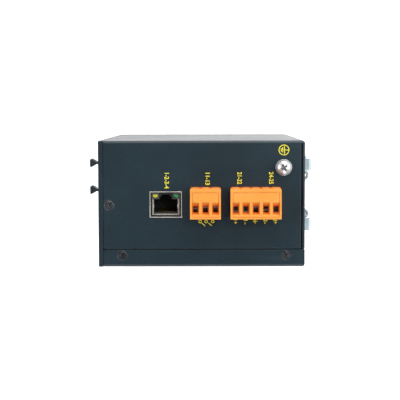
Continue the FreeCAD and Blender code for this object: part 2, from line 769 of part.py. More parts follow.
lead = Piece("lead_form", kept=False)
lead.pad("XZ_Plane", "-lead_wide/2", "lead_wide/2", [[
    ("-cavity_floor", "-lead_mouth"), ("-cavity_floor", "-cavity_deep"),
    ("-cavity_floor-lead_rise-lead_thick", "-cavity_deep"),
    ("-cavity_floor-lead_rise-lead_thick", "-cavity_deep+lead_back"),
    ("-cavity_floor-lead_thick", "-lead_mouth")]])

console_shield, console_housing = jack_row("console_jack", 1, "jack_deep", True)
for piece in (console_shield, console_housing):
    place(piece.body, JACK_X, "jack_along", f"{TOP}+jack_proud")
place(jack_leads("console_jack_contacts", 1), JACK_X, "jack_along", f"{TOP}+jack_proud")
for label, sign in (("console_led_yellow", "-"), ("console_led_green", "+")):
    lamp = Piece(label)
    lamp.pad("XY_Plane", "-lamp_deep", "-shield_wall/2",
             [centred("-lamp_level", f"{sign}lamp_spread/2", "lamp_high", "lamp_wide")])
    place(lamp.body, JACK_X, "jack_along", f"{TOP}+jack_proud")

bank_shield, bank_housing = jack_row("port_bank", PORTS, "port_deep", False)
for thing in (bank_shield.body, bank_housing.body, jack_leads("port_bank_contacts", PORTS)):
    place(thing, JACK_X, f"{FRONT}-jack_proud", "port_level", X_AXIS, 90)

# ---------------------------------------------------------------- optical module bays

bays = Piece("module_cage")
bay_front = f"({FRONT}-bay_proud)"
bays.pad("XZ_Plane", bay_front, f"{bay_front}+bay_long",
         [centred(BAY_X, BAY_Z, "bay_pitch+bay_wide+2*bay_wall", "bay_high+2*bay_wall")])
bays.pocket("XZ_Plane", bay_front, f"{bay_front}+bay_long-bay_wall",
            [centred(f"{BAY_X}{sign}bay_pitch/2", BAY_Z, "bay_wide", "bay_high")
             for sign in "-+"])
bay_board = Piece("module_board")
bay_board.pad("XY_Plane", f"{BAY_FLOOR}-board_thick", BAY_FLOOR, [
    rect(f"{BAY_X}-bay_pitch/2-bay_wide/2-bay_wall", "board_face",
         f"{bay_front}+front_thick+board_edge",
         f"{bay_front}+bay_long+bay_link_gap+bay_link_long+bay_board_lap")])
bay_link = Piece("module_board_link")
bay_link.pad("XY_Plane", BAY_FLOOR, f"{BAY_FLOOR}+bay_link_high", [
    rect("board_face-bay_link_high", "board_face", f"{bay_front}+bay_long+bay_link_gap",
         f"{bay_front}+bay_long+bay_link_gap+bay_link_long")])

# A dust plug is one rubber moulding: a block that fills the bay, a flange and a waisted grip.
for index, sign in enumerate("-+", 1):
    dust = Piece(f"dust_plug_{index}")
    x = f"({BAY_X}{sign}bay_pitch/2)"
    flange = f"({bay_front}-dust_seat)"
    dust.pad("XZ_Plane", flange, f"{bay_front}+dust_deep",
             [centred(x, BAY_Z, "bay_wide-2*dust_play", "bay_high-2*dust_play")])
    dust.pad("XZ_Plane", f"{flange}-dust_flange", flange,
             [centred(x, BAY_Z, "bay_wide+bay_wall*0.8", "bay_high+bay_wall*1.6")])
    base = f"({flange}-dust_flange)"
    grip = ((base, "dust_grip_root"), (f"{base}-dust_grip_out*0.12", "dust_grip_neck"),
            (f"{base}-dust_grip_out*0.24", "dust_grip_neck"),
            (f"{base}-dust_grip_out*0.86", "dust_grip_end"),
            (f"{base}-dust_grip_out", "dust_grip_end*0.78"))
    dust.pad("XY_Plane", f"{BAY_Z}-bay_high/2+dust_play", f"{BAY_Z}+bay_high/2-dust_play",
             [[(f"{x}-{w}", y) for y, w in grip] + [(f"{x}+{w}", y) for y, w in reversed(grip)]])

# Light pipes: rods from one bar on the back of the main board, out through the front plate.
pipes = Piece("light_pipes")
pipe_root = f"({FRONT}+front_thick+board_edge)"
half_pipes = (PIPES - 1) / 2
pipes.pad("XZ_Plane", pipe_root, f"{pipe_root}+pipe_bar",
          [rect(BOARD_BACK, "pipe_across+pipe_wide/2",
                f"port_level-{half_pipes}*pipe_pitch-pipe_wide",
                f"port_level+{half_pipes}*pipe_pitch+pipe_wide")])
rod = pipes.pad("XZ_Plane", f"{FRONT}-pipe_proud", pipe_root,
                [("pipe_across", f"port_level-{half_pipes}*pipe_pitch", "pipe_wide/2")])
pipes.repeat([rod], "Z_Axis", "pipe_pitch", PIPES)

# ---------------------------------------------------------------- screw terminals


def terminal(name, centre, ys, rises):
    """Board header and pluggable screw block, with a rising cage clamp for each pole."""
    poles = len(ys)
    width = f"({poles}*pole_pitch)"
    header = Piece(f"{name}_header")
    header_bottom = f"({TOP}-header_deep)"
    header.pad("XY_Plane", header_bottom, TOP,
               [rect(HEADER_X, "board_face", f"{centre}-{width}/2", f"{centre}+{width}/2")])
    header.pocket("XY_Plane", f"{TOP}-plug_in-header_wall", TOP, [
        rect(f"{HEADER_X}+header_wall", "board_face-header_wall",
             f"{centre}-{width}/2+header_wall", f"{centre}+{width}/2-header_wall")])
    first = ys[0]
    bore = header.pocket("XY_Plane", f"{PIN_Z}-pin_size/2-pin_fit", f"{TOP}-plug_in-header_wall", [
        rect(f"{PIN_X}-pin_size/2-pin_fit", f"{PIN_X}+pin_size/2+pin_fit",
             f"{first}-pin_size/2-pin_fit", f"{first}+pin_size/2+pin_fit")])
    slot = header.pocket("XZ_Plane", f"{first}-pin_size/2-pin_fit", f"{first}+pin_size/2+pin_fit", [
        rect(f"{PIN_X}-pin_size/2-pin_fit", "board_face",
             f"{PIN_Z}-pin_size/2-pin_fit", f"{PIN_Z}+pin_size/2+pin_fit")])
    header.repeat([bore, slot], "Y_Axis", "pole_pitch", poles)
    group(f"{name}_header_pins", pin.body, [("0", y, "0", None, 0) for y in ys])

    plug = Piece(f"{name}_plug")
    low = "(case_height+plug_gap)"
    plug.pad("XY_Plane", low, PLUG_TOP, [
        rect(PLUG_X, f"{PLUG_X}+plug_high", f"{centre}-{width}/2-plug_margin",
             f"{centre}+{width}/2+plug_margin")])
    # A ledge below the top edge, with a round notch at each boundary between two poles.
    ledge_low, ledge_top = f"({low}+ledge_lift)", f"({low}+ledge_lift+ledge_high)"
    plug.pad("XY_Plane", ledge_low, ledge_top, [
        rect(f"{PLUG_X}-ledge_out", PLUG_X, f"{centre}-{width}/2-plug_margin",
             f"{centre}+{width}/2+plug_margin")])
    notch = plug.pocket("XY_Plane", ledge_low, ledge_top, [
        (f"{PLUG_X}-ledge_out-notch_radius+notch_deep", f"{first}-pole_pitch/2", "notch_radius")])
    plug.repeat([notch], "Y_Axis", "pole_pitch", poles + 1)
    plug.pad("XY_Plane", f"{TOP}-plug_in", low, [
        rect(f"{HEADER_X}+header_wall+plug_fit", "board_face-header_wall-plug_fit",
             f"{centre}-{width}/2+header_wall+plug_fit",
             f"{centre}+{width}/2-header_wall-plug_fit")])
    frame = rect(f"{PLUG_X}+line_inset_rear", f"{PLUG_X}+plug_high-line_inset",
                 f"{centre}-{width}/2+line_inset", f"{centre}+{width}/2-line_inset")
    core = rect(f"{PLUG_X}+line_inset_rear+line_wide",
                f"{PLUG_X}+plug_high-line_inset-line_wide",
                f"{centre}-{width}/2+line_inset+line_wide",
                f"{centre}+{width}/2-line_inset-line_wide")
    plug.pocket("XY_Plane", f"{PLUG_TOP}-line_deep", PLUG_TOP, [frame, core])
    # Wire funnel, window, cage chamber, strap slot, sleeve chamber and screw bore of one pole.
    face = f"({PLUG_X}+plug_high)"
    funnel = plug.loft_cut(
        f"{PLUG_TOP}-funnel_deep",
        rect(f"{face}-window_inset-window_high", f"{face}-window_inset",
             f"{first}-window_wide/2", f"{first}+window_wide/2"),
        PLUG_TOP,
        rect(f"{face}-funnel_inset-funnel_high", f"{face}-funnel_inset",
             f"{first}-funnel_wide/2", f"{first}+funnel_wide/2"))
    window = plug.pocket("XY_Plane", CAGE_CEILING, f"{PLUG_TOP}-funnel_deep", [
        rect(f"{face}-window_inset-window_high", f"{face}-window_inset",
             f"{first}-window_wide/2", f"{first}+window_wide/2")])
    chamber_low = f"({CAGE_Z}-cage_deep/2-cage_play)"
    chamber = plug.pocket("XY_Plane", chamber_low, CAGE_CEILING, [
        rect(f"{CAGE_LOW}-cage_long-cage_travel-cage_play", f"{CAGE_LOW}+cage_play",
             f"{first}-cage_wide/2-cage_play", f"{first}+cage_wide/2+cage_play")])
    strap_slot = plug.pocket("XY_Plane", SLEEVE_TOP, chamber_low, [
        rect(f"{STRAP_X}-strap_thick/2", f"{PIN_X}+sleeve_size/2",
             f"{first}-sleeve_size/2", f"{first}+sleeve_size/2")])
    sleeve_bore = plug.pocket("XY_Plane", f"{TOP}-plug_in", SLEEVE_TOP, [
        centred(PIN_X, first, "sleeve_size", "sleeve_size")])
    recess = plug.pocket("YZ_Plane", f"{PLUG_X}-ledge_out-clamp_sunk", HEAD_SEAT,
                         [(first, CAGE_Z, "clamp_head/2+clamp_head_play")])
    neck = plug.pocket("YZ_Plane", HEAD_SEAT, f"{CAGE_LOW}-cage_long-cage_travel-cage_play",
                       [(first, CAGE_Z, "clamp_shank/2+clamp_play")])
    plug.repeat([funnel, window, chamber, strap_slot, sleeve_bore, recess, neck],
                "Y_Axis", "pole_pitch", poles)
    group(f"{name}_plug_contacts", strap.body, [("0", y, "0", None, 0) for y in ys])

    for index, (y, rise) in enumerate(zip(ys, rises), 1):
        screw = Piece(f"{name}_screw_{index}")
        screw.revolve([("0", "0"), ("clamp_head/2", "0"), ("clamp_head/2", "-clamp_head_high"),
                       ("clamp_shank/2", "-clamp_head_high"),
                       ("clamp_shank/2", f"{PLUG_X}+clamp_sunk-({STRAP_X}-strap_thick/2)+clamp_tip_room"),
                       ("0", f"{PLUG_X}+clamp_sunk-({STRAP_X}-strap_thick/2)+clamp_tip_room")])
        screw.pocket("XY_Plane", "-clamp_slot_deep", "0",
                     [centred("0", "0", "clamp_slot", "clamp_head+clamp_slot")])
        place(screw.body, f"{PLUG_X}+clamp_sunk", y, CAGE_Z, Y_AXIS, -90)
        cage = Piece(f"{name}_cage_{index}")
        cage.pad("XY_Plane", "-cage_deep/2", "cage_deep/2",
                 [rect("-cage_long", "0", "-cage_wide/2", "cage_wide/2"),
                  rect("-cage_long+cage_nut", "-cage_base",
                       "-cage_wide/2+cage_wall", "cage_wide/2-cage_wall")])
        cage.pocket("YZ_Plane", "-cage_long", "-cage_long+cage_nut",
                    [("0", "0", "clamp_shank/2+clamp_play")])
        place(cage.body, f"{CAGE_LOW}-{rise}", y, CAGE_Z)


pin = Piece("pin_form", kept=False)
pin_top = f"({TOP}-pin_short)"
pin.pad("XZ_Plane", "-pin_size/2", "pin_size/2", [[
    (f"{PIN_X}-pin_size/2", pin_top), (f"{PIN_X}-pin_size/2", f"{PIN_Z}-pin_size/2"),
    (f"{BOARD_BACK}+pin_tail", f"{PIN_Z}-pin_size/2"),
    (f"{BOARD_BACK}+pin_tail", f"{PIN_Z}+pin_size/2"),
    (f"{PIN_X}+pin_size/2", f"{PIN_Z}+pin_size/2"), (f"{PIN_X}+pin_size/2", pin_top)]])

# A contact is a sleeve round the header's pin, joined by a step to the strap in the cage.
strap = Piece("strap_form", kept=False)
strap_top = f"({CAGE_Z}+cage_deep/2)"
strap.pad("XZ_Plane", "-strap_wide/2", "strap_wide/2", [[
    (f"{STRAP_X}-strap_thick/2", strap_top), (f"{STRAP_X}-strap_thick/2", SLEEVE_TOP),
    (f"{PIN_X}+sleeve_size/2", SLEEVE_TOP), (f"{PIN_X}+sleeve_size/2", f"{SLEEVE_TOP}+strap_thick"),
    (f"{STRAP_X}+strap_thick/2", f"{SLEEVE_TOP}+strap_thick"),
    (f"{STRAP_X}+strap_thick/2", strap_top)]])
strap.pad("XY_Plane", f"{TOP}-plug_in", SLEEVE_TOP, [
    centred(PIN_X, "0", "sleeve_size", "sleeve_size"),
    centred(PIN_X, "0", "sleeve_bore", "sleeve_bore")])

terminal("fault", "fault_along", FAULT_YS, FAULT_RISES)
terminal("power", "power_along", POWER_YS, POWER_RISES)

# ---------------------------------------------------------------- rail clip

clip = Piece("rail_clip")
clip_front, clip_back = REAR, f"({REAR}+clip_thick)"
clip_left, clip_right = "(clip_across-clip_wide/2)", "(clip_across+clip_wide/2)"
clip.pad("XZ_Plane", clip_front, clip_back, [rect(clip_left, clip_right, CLIP_BOTTOM, "clip_top")])
clip.pocket("XZ_Plane", clip_front, clip_back,
            [(x, z, "screw_bore/2") for x, z in clip_holes]
            + [(f"clip_across{sign}(clip_wide/2-wire_inset)", "clip_top-wire_drop",
                "wire_thick/2+wire_room") for sign in "-+"])
out = f"({REAR}+hook_reach)"
for edge, sign in (("clip_top", "-"), (CLIP_BOTTOM, "+")):
    profile = [(REAR, edge), (out, edge), (out, f"{edge}{sign}hook_lip"),
               (f"{out}-clip_thick", f"{edge}{sign}hook_lip"),
               (f"{out}-clip_thick", f"{edge}{sign}clip_thick"), (REAR, f"{edge}{sign}clip_thick")]
    clip.pad("YZ_Plane", clip_left, f"{clip_left}+hook_wide", [profile])
    clip.pad("YZ_Plane", f"{clip_right}-hook_wide", clip_right, [profile])
hook_out = rear + SIZES["hook_reach"]
clip_ends = (SIZES["clip_top"],
             SIZES["clip_top"] - SIZES["rail_high"] - SIZES["rail_play"] - 2 * SIZES["clip_thick"])
clip.round_edges("hook_bend", lambda b: along(b, "x", y=hook_out)
                 and (near(b.Center.z, clip_ends[0]) or near(b.Center.z, clip_ends[1])))

# The rail spring is a bent wire whose ends sit in the clip's two small holes. It bulges out
# beside each upper hook, where the rail's edge meets it, and runs close to the plate between.
wire = Piece("rail_spring")
path = wire.sketch("XY_Plane", "clip_top-wire_drop", [])
ends = [f"(clip_across{sign}(clip_wide/2-wire_inset))" for sign in "-+"]
wire_y = f"({REAR}+clip_thick+wire_out)"
bulge_y = f"({REAR}+clip_thick+wire_bulge)"
route = []
for end, sign in ((ends[0], "+"), (ends[1], "-")):
    leg = [(end, REAR), (end, bulge_y), (f"{end}{sign}wire_bulge_long", bulge_y),
           (f"{end}{sign}(wire_bulge_long+wire_slope)", wire_y)]
    route += leg if sign == "+" else leg[::-1]
wire.corners(path, route, False)
section = wire.sketch("XZ_Plane", REAR, [(ends[0], "clip_top-wire_drop", "wire_thick/2")])
bent = wire.new("PartDesign::AdditivePipe")
bent.Profile = section
bent.Spine = path
bent.Transition = "Round corner"
doc.recompute()

clip_screw = Piece("clip_screw_form", kept=False)
clip_screw.revolve([("0", "-screw_long"), ("screw_shank/2", "-screw_long"),
                    ("screw_shank/2", "0"), ("clip_screw_head/2", "0"),
                    ("clip_screw_head/2", "clip_screw_high*0.7"),
                    ("clip_screw_head/2-clip_screw_high*0.3", "clip_screw_high"),
                    ("0", "clip_screw_high")])
group("rail_clip_screws", clip_screw.body,
      [(x, clip_back, z, X_AXIS, -90) for x, z in clip_holes])

# ---------------------------------------------------------------- check and write

doc.recompute()
for thing in doc.Objects:
    if "Invalid" in thing.State or "Error" in thing.State:
        raise RuntimeError(f"{thing.Name} did not build: {thing.State}")
os.makedirs("parts", exist_ok=True)
for thing in parts:
    if thing.Shape.isNull() or not thing.Shape.isValid():
        raise RuntimeError(f"{thing.Label} has no valid shape")
    thing.Shape.exportStep(f"parts/{thing.Label}.step")
print(len(parts), "pieces written")
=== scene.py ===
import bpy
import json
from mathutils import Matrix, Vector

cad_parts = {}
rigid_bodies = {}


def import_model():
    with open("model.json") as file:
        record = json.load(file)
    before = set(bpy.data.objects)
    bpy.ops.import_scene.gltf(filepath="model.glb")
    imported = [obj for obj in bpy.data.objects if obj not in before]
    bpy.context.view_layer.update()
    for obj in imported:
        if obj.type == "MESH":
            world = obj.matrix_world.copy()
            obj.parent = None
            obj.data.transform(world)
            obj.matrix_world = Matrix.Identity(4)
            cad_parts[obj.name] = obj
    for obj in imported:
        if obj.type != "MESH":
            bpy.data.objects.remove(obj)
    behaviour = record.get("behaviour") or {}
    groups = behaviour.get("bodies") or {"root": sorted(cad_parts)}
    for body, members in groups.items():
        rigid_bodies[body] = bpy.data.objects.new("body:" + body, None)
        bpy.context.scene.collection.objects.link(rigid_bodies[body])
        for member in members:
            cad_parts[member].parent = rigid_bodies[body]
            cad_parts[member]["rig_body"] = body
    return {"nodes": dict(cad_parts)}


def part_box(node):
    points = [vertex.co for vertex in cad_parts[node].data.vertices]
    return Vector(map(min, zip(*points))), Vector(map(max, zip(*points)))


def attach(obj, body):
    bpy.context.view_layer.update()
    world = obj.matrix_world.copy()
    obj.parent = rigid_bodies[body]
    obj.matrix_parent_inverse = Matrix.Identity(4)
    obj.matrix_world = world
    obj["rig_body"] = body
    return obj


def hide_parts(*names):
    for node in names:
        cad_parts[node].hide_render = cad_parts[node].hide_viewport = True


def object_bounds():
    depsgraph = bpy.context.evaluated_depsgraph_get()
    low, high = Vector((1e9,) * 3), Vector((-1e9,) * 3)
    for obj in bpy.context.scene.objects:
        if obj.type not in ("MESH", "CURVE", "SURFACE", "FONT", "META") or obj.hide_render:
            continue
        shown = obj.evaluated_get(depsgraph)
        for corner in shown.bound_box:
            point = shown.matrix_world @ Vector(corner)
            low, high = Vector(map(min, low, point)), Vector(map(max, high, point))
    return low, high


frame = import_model()

"""Looks of a DIN rail Ethernet switch: powder coated case, jacks, terminals and rail clip.

Lengths are metres in the part's own frame: +Z is the terminal face, -Y the front panel,
+Y the rail side and +X the tray side.
"""
import json
import logging
import math
from dataclasses import dataclass, field
from enum import Enum

import bmesh
import bpy
import numpy as np
from mathutils import Matrix, Vector

logging.basicConfig(level=logging.INFO, format="%(message)s")
LOG = logging.getLogger("switch")
MM = 0.001
CAD_BOX = [list(corner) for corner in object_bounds()]

# How near two points are one; which edges are flat, sharp or rounded; a closed pole's radius.
WELD = 2e-6
FLAT_ANGLE = math.radians(1)
SHARP_ANGLE = math.radians(35)
EDGE_ANGLE = math.radians(40)
POLE = 1e-5
# Screw heads: points round the axis, rings, the innermost ring's share of the radius, and the
# shares over which the cross gets its walls and its ends.
HEAD_STEPS = 72
HEAD_RINGS = 20
HEAD_MIDDLE = 0.02
WALL_SHARE = 0.12
END_SHARE = 0.2


# --- small geometry tools

def linked(name: str, data: bpy.types.ID) -> bpy.types.Object:
    """New object at the origin, put into the scene.

    Args:
        name: the object's name.
        data: its mesh, curve, lamp or camera.
    Returns:
        The object.
    """
    thing = bpy.data.objects.new(name, data)
    bpy.context.scene.collection.objects.link(thing)
    return thing


def link_mesh(name: str, verts: np.ndarray, faces: list, smooth: bool = True) -> bpy.types.Object:
    """Put vertices (metres) and faces into a new object at the origin.

    Args:
        name: the piece's name.
        verts: array of shape (n, 3).
        faces: rows of vertex numbers.
        smooth: whether the faces are shaded smooth.
    Returns:
        The object.
    """
    mesh = bpy.data.meshes.new(name)
    mesh.from_pydata(verts.reshape(-1, 3).tolist(), [], faces)
    mesh.polygons.foreach_set("use_smooth", np.full(len(mesh.polygons), smooth))
    mesh.update()
    return linked(name, mesh)


def grid_faces(rows: int, columns: int, around: bool, start: int = 0) -> np.ndarray:
    """Quads of a grid of points.

    Args:
        rows: number of rows of points.
        columns: number of points in a row.
        around: whether each row's last point joins its first.
        start: number of the grid's first point.
    Returns:
        Array of four vertex numbers a face.
    """
    last = columns if around else columns - 1
    row, column = np.meshgrid(np.arange(rows - 1), np.arange(last), indexing="ij")
    after = (column + 1) % columns
    quads = np.stack([row * columns + column, row * columns + after,
                      (row + 1) * columns + after, (row + 1) * columns + column], -1)
    return quads.reshape(-1, 4) + start


def turned(profile: np.ndarray, steps: int) -> tuple[np.ndarray, list]:
    """Surface of revolution: each (radius, height) point goes round the Z axis.

    Formula: x = radius times cosine of the turn, y = radius times its sine, z = height. The
    first row is closed by one face, and the last row is left open.

    Args:
        profile: (n, 2) array from the bottom outwards and up, so that faces point out.
        steps: number of points round the axis.
    Returns:
        Vertices and faces.
    """
    turn = np.linspace(0, 2 * np.pi, steps, endpoint=False)
    radius, height = profile[:, :1], profile[:, 1:]
    verts = np.stack([radius * np.cos(turn), radius * np.sin(turn),
                      np.broadcast_to(height, (len(profile), steps))], -1)
    faces = grid_faces(len(profile), steps, True).tolist()
    faces.append(list(range(steps))[::-1])
    return verts.reshape(-1, 3), faces


def cross_recess(x: np.ndarray, y: np.ndarray, reach: float, width: float,
                 depth: float) -> np.ndarray:
    """Depth of a cross recess over a screw head.

    Formula: inside either arm (the smaller of |x| and |y| under half the width) the recess is
    deep. Its walls rise over an eighth of the width, and its ends over a fifth of the reach.

    Args:
        x, y: places on the head.
        reach: length of an arm from the middle.
        width: width of an arm.
        depth: depth of the cross.
    Returns:
        Depth at each place.
    """
    side = np.minimum(np.abs(x), np.abs(y))
    out = np.maximum(np.abs(x), np.abs(y))
    wall = np.clip((width / 2 - side) / (width * WALL_SHARE), 0, 1)
    return depth * wall * np.clip((1 - out / reach) / END_SHARE, 0, 1)


def cross_head(radius: float, dome: float, rim: float, recess: tuple[float, float, float],
               body: np.ndarray, turn: float) -> tuple[np.ndarray, list]:
    """Screw with a domed or flat head and a cross recess, its head facing +Z.

    Formula: the top is a polar grid whose height is the dome (one minus the square of the
    radius share) less the cross recess; below it the body is a surface of revolution.

    Args:
        radius: head radius.
        dome: rise of the head's middle over its edge.
        rim: height of the head's edge.
        recess: reach, width and depth of the cross.
        body: (n, 2) profile from the axis below up to the head's edge.
        turn: how far the cross is turned, in radians.
    Returns:
        Vertices and faces.
    """
    share = np.linspace(1, HEAD_MIDDLE, HEAD_RINGS)[:, None]
    angle = np.linspace(0, 2 * np.pi, HEAD_STEPS, endpoint=False)[None, :]
    x = radius * share * np.cos(angle + turn)
    y = radius * share * np.sin(angle + turn)
    plain = radius * share * np.cos(angle), radius * share * np.sin(angle)
    height = rim + dome * (1 - share ** 2) - cross_recess(*plain, *recess)
    low, faces = turned(np.vstack([body, [radius, rim - POLE]]), HEAD_STEPS)
    top = np.stack([x, y, np.broadcast_to(height, x.shape)], -1).reshape(-1, 3)
    spin = np.array([[math.cos(turn), -math.sin(turn)], [math.sin(turn), math.cos(turn)]])
    low[:, :2] = low[:, :2] @ spin.T
    joined = np.vstack([low, top])
    faces += grid_faces(HEAD_RINGS + 1, HEAD_STEPS, True, len(low) - HEAD_STEPS).tolist()
    faces.append(list(range(len(joined) - HEAD_STEPS, len(joined))))
    return joined, faces


def placed(verts: np.ndarray, matrix: Matrix) -> np.ndarray:
    """Vertices moved by a 4 by 4 matrix."""
    whole = np.array(matrix)
    return verts @ whole[:3, :3].T + whole[:3, 3]


def merged(parts: list[tuple[np.ndarray, list]]) -> tuple[np.ndarray, list]:
    """Several shapes as one.

    Args:
        parts: (vertices, faces) pairs.
    Returns:
        All vertices, and all faces with their numbers moved on.
    """
    verts, faces, start = [], [], 0
    for points, rows in parts:
        verts.append(points)
        faces += [[index + start for index in row] for row in rows]
        start += len(points)
    return np.vstack(verts), faces


def ribbon(path: np.ndarray, width: np.ndarray, thick: float) -> tuple[np.ndarray, list]:
    """Strip of metal carried along a path, with a rectangular section.

    Formula: each path point carries four corners, half the width to each side and the
    thickness along the path's normal.

    Args:
        path: (n, 3) array.
        width: (3,) vector across the strip, as long as the strip is wide.
        thick: thickness.
    Returns:
        Vertices and faces.
    """
    along = np.gradient(path, axis=0)
    normal = np.cross(width, along)
    normal /= np.linalg.norm(normal, axis=1, keepdims=True)
    half = width / 2
    corners = np.stack([path - half, path + half, path + half + normal * thick,
                        path - half + normal * thick], 1)
    faces = grid_faces(len(path), 4, True)[:, ::-1].tolist()
    end = 4 * len(path)
    faces += [[0, 1, 2, 3], [end - 1, end - 2, end - 3, end - 4]]
    return corners.reshape(-1, 3), faces


def box_mesh(low: tuple, high: tuple) -> tuple[np.ndarray, list]:
    """Closed block with its faces outwards.

    Args:
        low: its lowest corner.
        high: its highest corner.
    Returns:
        Vertices and faces.
    """
    upper = np.array([[0, 0, 0], [1, 0, 0], [1, 1, 0], [0, 1, 0],
                      [0, 0, 1], [1, 0, 1], [1, 1, 1], [0, 1, 1]], bool)
    faces = [[0, 3, 2, 1], [4, 5, 6, 7], [0, 1, 5, 4], [1, 2, 6, 5], [2, 3, 7, 6], [3, 0, 4, 7]]
    return np.where(upper, high, low), faces


def bevel(piece: bpy.types.Object, width: float, segments: int = 2,
          clamp: bool = True) -> bpy.types.Object:
    """Round a piece's sharp edges with a live bevel.

    Args:
        piece: the piece to round.
        width, segments, clamp: as for softened().
    Returns:
        The same piece.
    """
    edge = piece.modifiers.new("edge", "BEVEL")
    edge.width = width
    edge.segments = segments
    edge.limit_method = "ANGLE"
    edge.angle_limit = EDGE_ANGLE
    edge.use_clamp_overlap = clamp
    edge.harden_normals = True
    return piece


def softened(node: str, width: float, segments: int = 2, clamp: bool = True) -> bpy.types.Object:
    """Stand-in for a CAD node with the same faces and softly rounded edges.

    Args:
        node: the CAD node's name.
        width: how far the rounding reaches from each edge.
        segments: facets of the rounding.
        clamp: whether the narrowest face holds back every edge's rounding.
    Returns:
        The new piece, riding where the node rides.
    """
    source = frame["nodes"][node]
    mesh = source.data.copy()
    mesh.name = f"{node}_skin"
    shape = bmesh.new()
    shape.from_mesh(mesh)
    bmesh.ops.remove_doubles(shape, verts=shape.verts, dist=WELD)
    bmesh.ops.dissolve_limit(shape, angle_limit=FLAT_ANGLE, verts=shape.verts, edges=shape.edges)
    shape.to_mesh(mesh)
    shape.free()
    mesh.materials.clear()
    piece = linked(f"{node}_skin", mesh)
    mesh.polygons.foreach_set("use_smooth", np.full(len(mesh.polygons), True))
    mesh.set_sharp_from_angle(angle=SHARP_ANGLE)
    bevel(piece, width, segments, clamp)
    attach(piece, source["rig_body"])
    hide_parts(node)
    return piece


# --- finishes

class Graph:
    """Node tree of a material or of the world, with short calls."""

    def __init__(self, owner: bpy.types.ID, shader: str = "Principled BSDF",
                 place: str = "Object") -> None:
        """Open the tree of a new material or world.

        Args:
            owner: the material or the world.
            shader: name of the shader that set() sets.
            place: which coordinate the patterns read.
        """
        owner.use_nodes = True
        self.owner = owner
        self.nodes = owner.node_tree.nodes
        self.links = owner.node_tree.links
        self.shader = self.nodes[shader]
        self.place = self.nodes.new("ShaderNodeTexCoord").outputs[place]

    def give(self, socket: bpy.types.NodeSocket, value: object) -> None:
        """Link a socket or set its value.

        Args:
            socket: the input.
            value: a socket, a number, a vector or a colour, which is opaque unless it has a
                fourth number.
        """
        if isinstance(value, bpy.types.NodeSocket):
            self.links.new(value, socket)
        elif isinstance(value, tuple) and len(value) == 3 and len(socket.default_value) == 4:
            socket.default_value = (*value, 1.0)
        else:
            socket.default_value = value

    def add(self, kind: str, **inputs: object) -> bpy.types.Node:
        """Add a node.

        Args:
            kind: the node's type, without its first words.
            inputs: values or sockets for its inputs; names in lower case are properties.
        Returns:
            The node.
        """
        node = self.nodes.new(f"ShaderNode{kind}")
        for name, value in inputs.items():
            if name[0].islower():
                setattr(node, name, value)
            else:
                self.give(node.inputs[name.replace("_", " ")], value)
        return node

    def noise(self, scale: float, detail: float = 2.0, stretch: tuple = (1, 1, 1),
              rough: float = 0.5) -> bpy.types.NodeSocket:
        """Noise on the piece's own coordinates.

        Args:
            scale: lumps to a metre.
            detail: how many finer layers it has.
            stretch: factors along the axes.
            rough: weight of the finer layers.
        Returns:
            The noise, from 0 to 1.
        """
        space = self.add("Mapping", Vector=self.place, Scale=stretch)
        node = self.add("TexNoise", Vector=space.outputs[0], Scale=scale, Detail=detail,
                        Roughness=rough)
        return node.outputs["Fac"]

    def ramp(self, factor: bpy.types.NodeSocket, stops: list[tuple]) -> bpy.types.NodeSocket:
        """Colour band.

        Args:
            factor: where along the band.
            stops: (place, colour) pairs.
        Returns:
            The colour.
        """
        node = self.add("ValToRGB", Fac=factor)
        band = node.color_ramp.elements
        while len(band) < len(stops):
            band.new(0.5)
        for element, (place, colour) in zip(band, stops):
            element.position = place
            element.color = (*colour, 1.0)
        return node.outputs["Color"]

    def span(self, factor: bpy.types.NodeSocket, low: float, high: float, frm: float = 0.3,
             to: float = 0.7) -> bpy.types.NodeSocket:
        """Map a factor's part between frm and to onto the values from low to high."""
        return self.add("MapRange", Value=factor, From_Min=frm, From_Max=to, To_Min=low,
                        To_Max=high).outputs["Result"]

    def blend(self, factor: object, first: object, second: object,
              mode: str = "MIX") -> bpy.types.NodeSocket:
        """Mix two colours.

        Args:
            factor: share of the second colour.
            first, second: colours or sockets.
            mode: how they are mixed.
        Returns:
            The mixed colour.
        """
        node = self.add("Mix", data_type="RGBA", blend_type=mode)
        for number, value in ((0, factor), (6, first), (7, second)):
            self.give(node.inputs[number], value)
        return node.outputs[2]

    def sum(self, operation: str, first: object, second: object) -> bpy.types.NodeSocket:
        """Work out one number from two values or sockets.

        Args:
            operation: the sum to do.
            first, second: values or sockets.
        Returns:
            The result.
        """
        node = self.add("Math", operation=operation)
        self.give(node.inputs[0], first)
        self.give(node.inputs[1], second)
        return node.outputs[0]

    def bump(self, height: bpy.types.NodeSocket, depth: float,
             under: bpy.types.NodeSocket | None = None) -> bpy.types.NodeSocket:
        """Relief.

        Args:
            height: the pattern.
            depth: its depth in metres.
            under: coarser relief that it lies on.
        Returns:
            The normal.
        """
        node = self.add("Bump", Height=height, Distance=depth)
        if under:
            self.give(node.inputs["Normal"], under)
        return node.outputs["Normal"]

    def set(self, **inputs: object) -> bpy.types.ID:
        """Set or link the shader's sockets.

        Args:
            inputs: values or sockets by the inputs' names.
        Returns:
            The material or the world.
        """
        for name, value in inputs.items():
            self.give(self.shader.inputs[name.replace("_", " ")], value)
        return self.owner


def linear(display: tuple[int, int, int]) -> tuple[float, float, float]:
    """Scene colour of a display colour given as 0 to 255."""
    share = np.array(display) / 255
    scene = np.where(share <= 0.04045, share / 12.92, ((share + 0.055) / 1.055) ** 2.4)
    return tuple(scene.tolist())


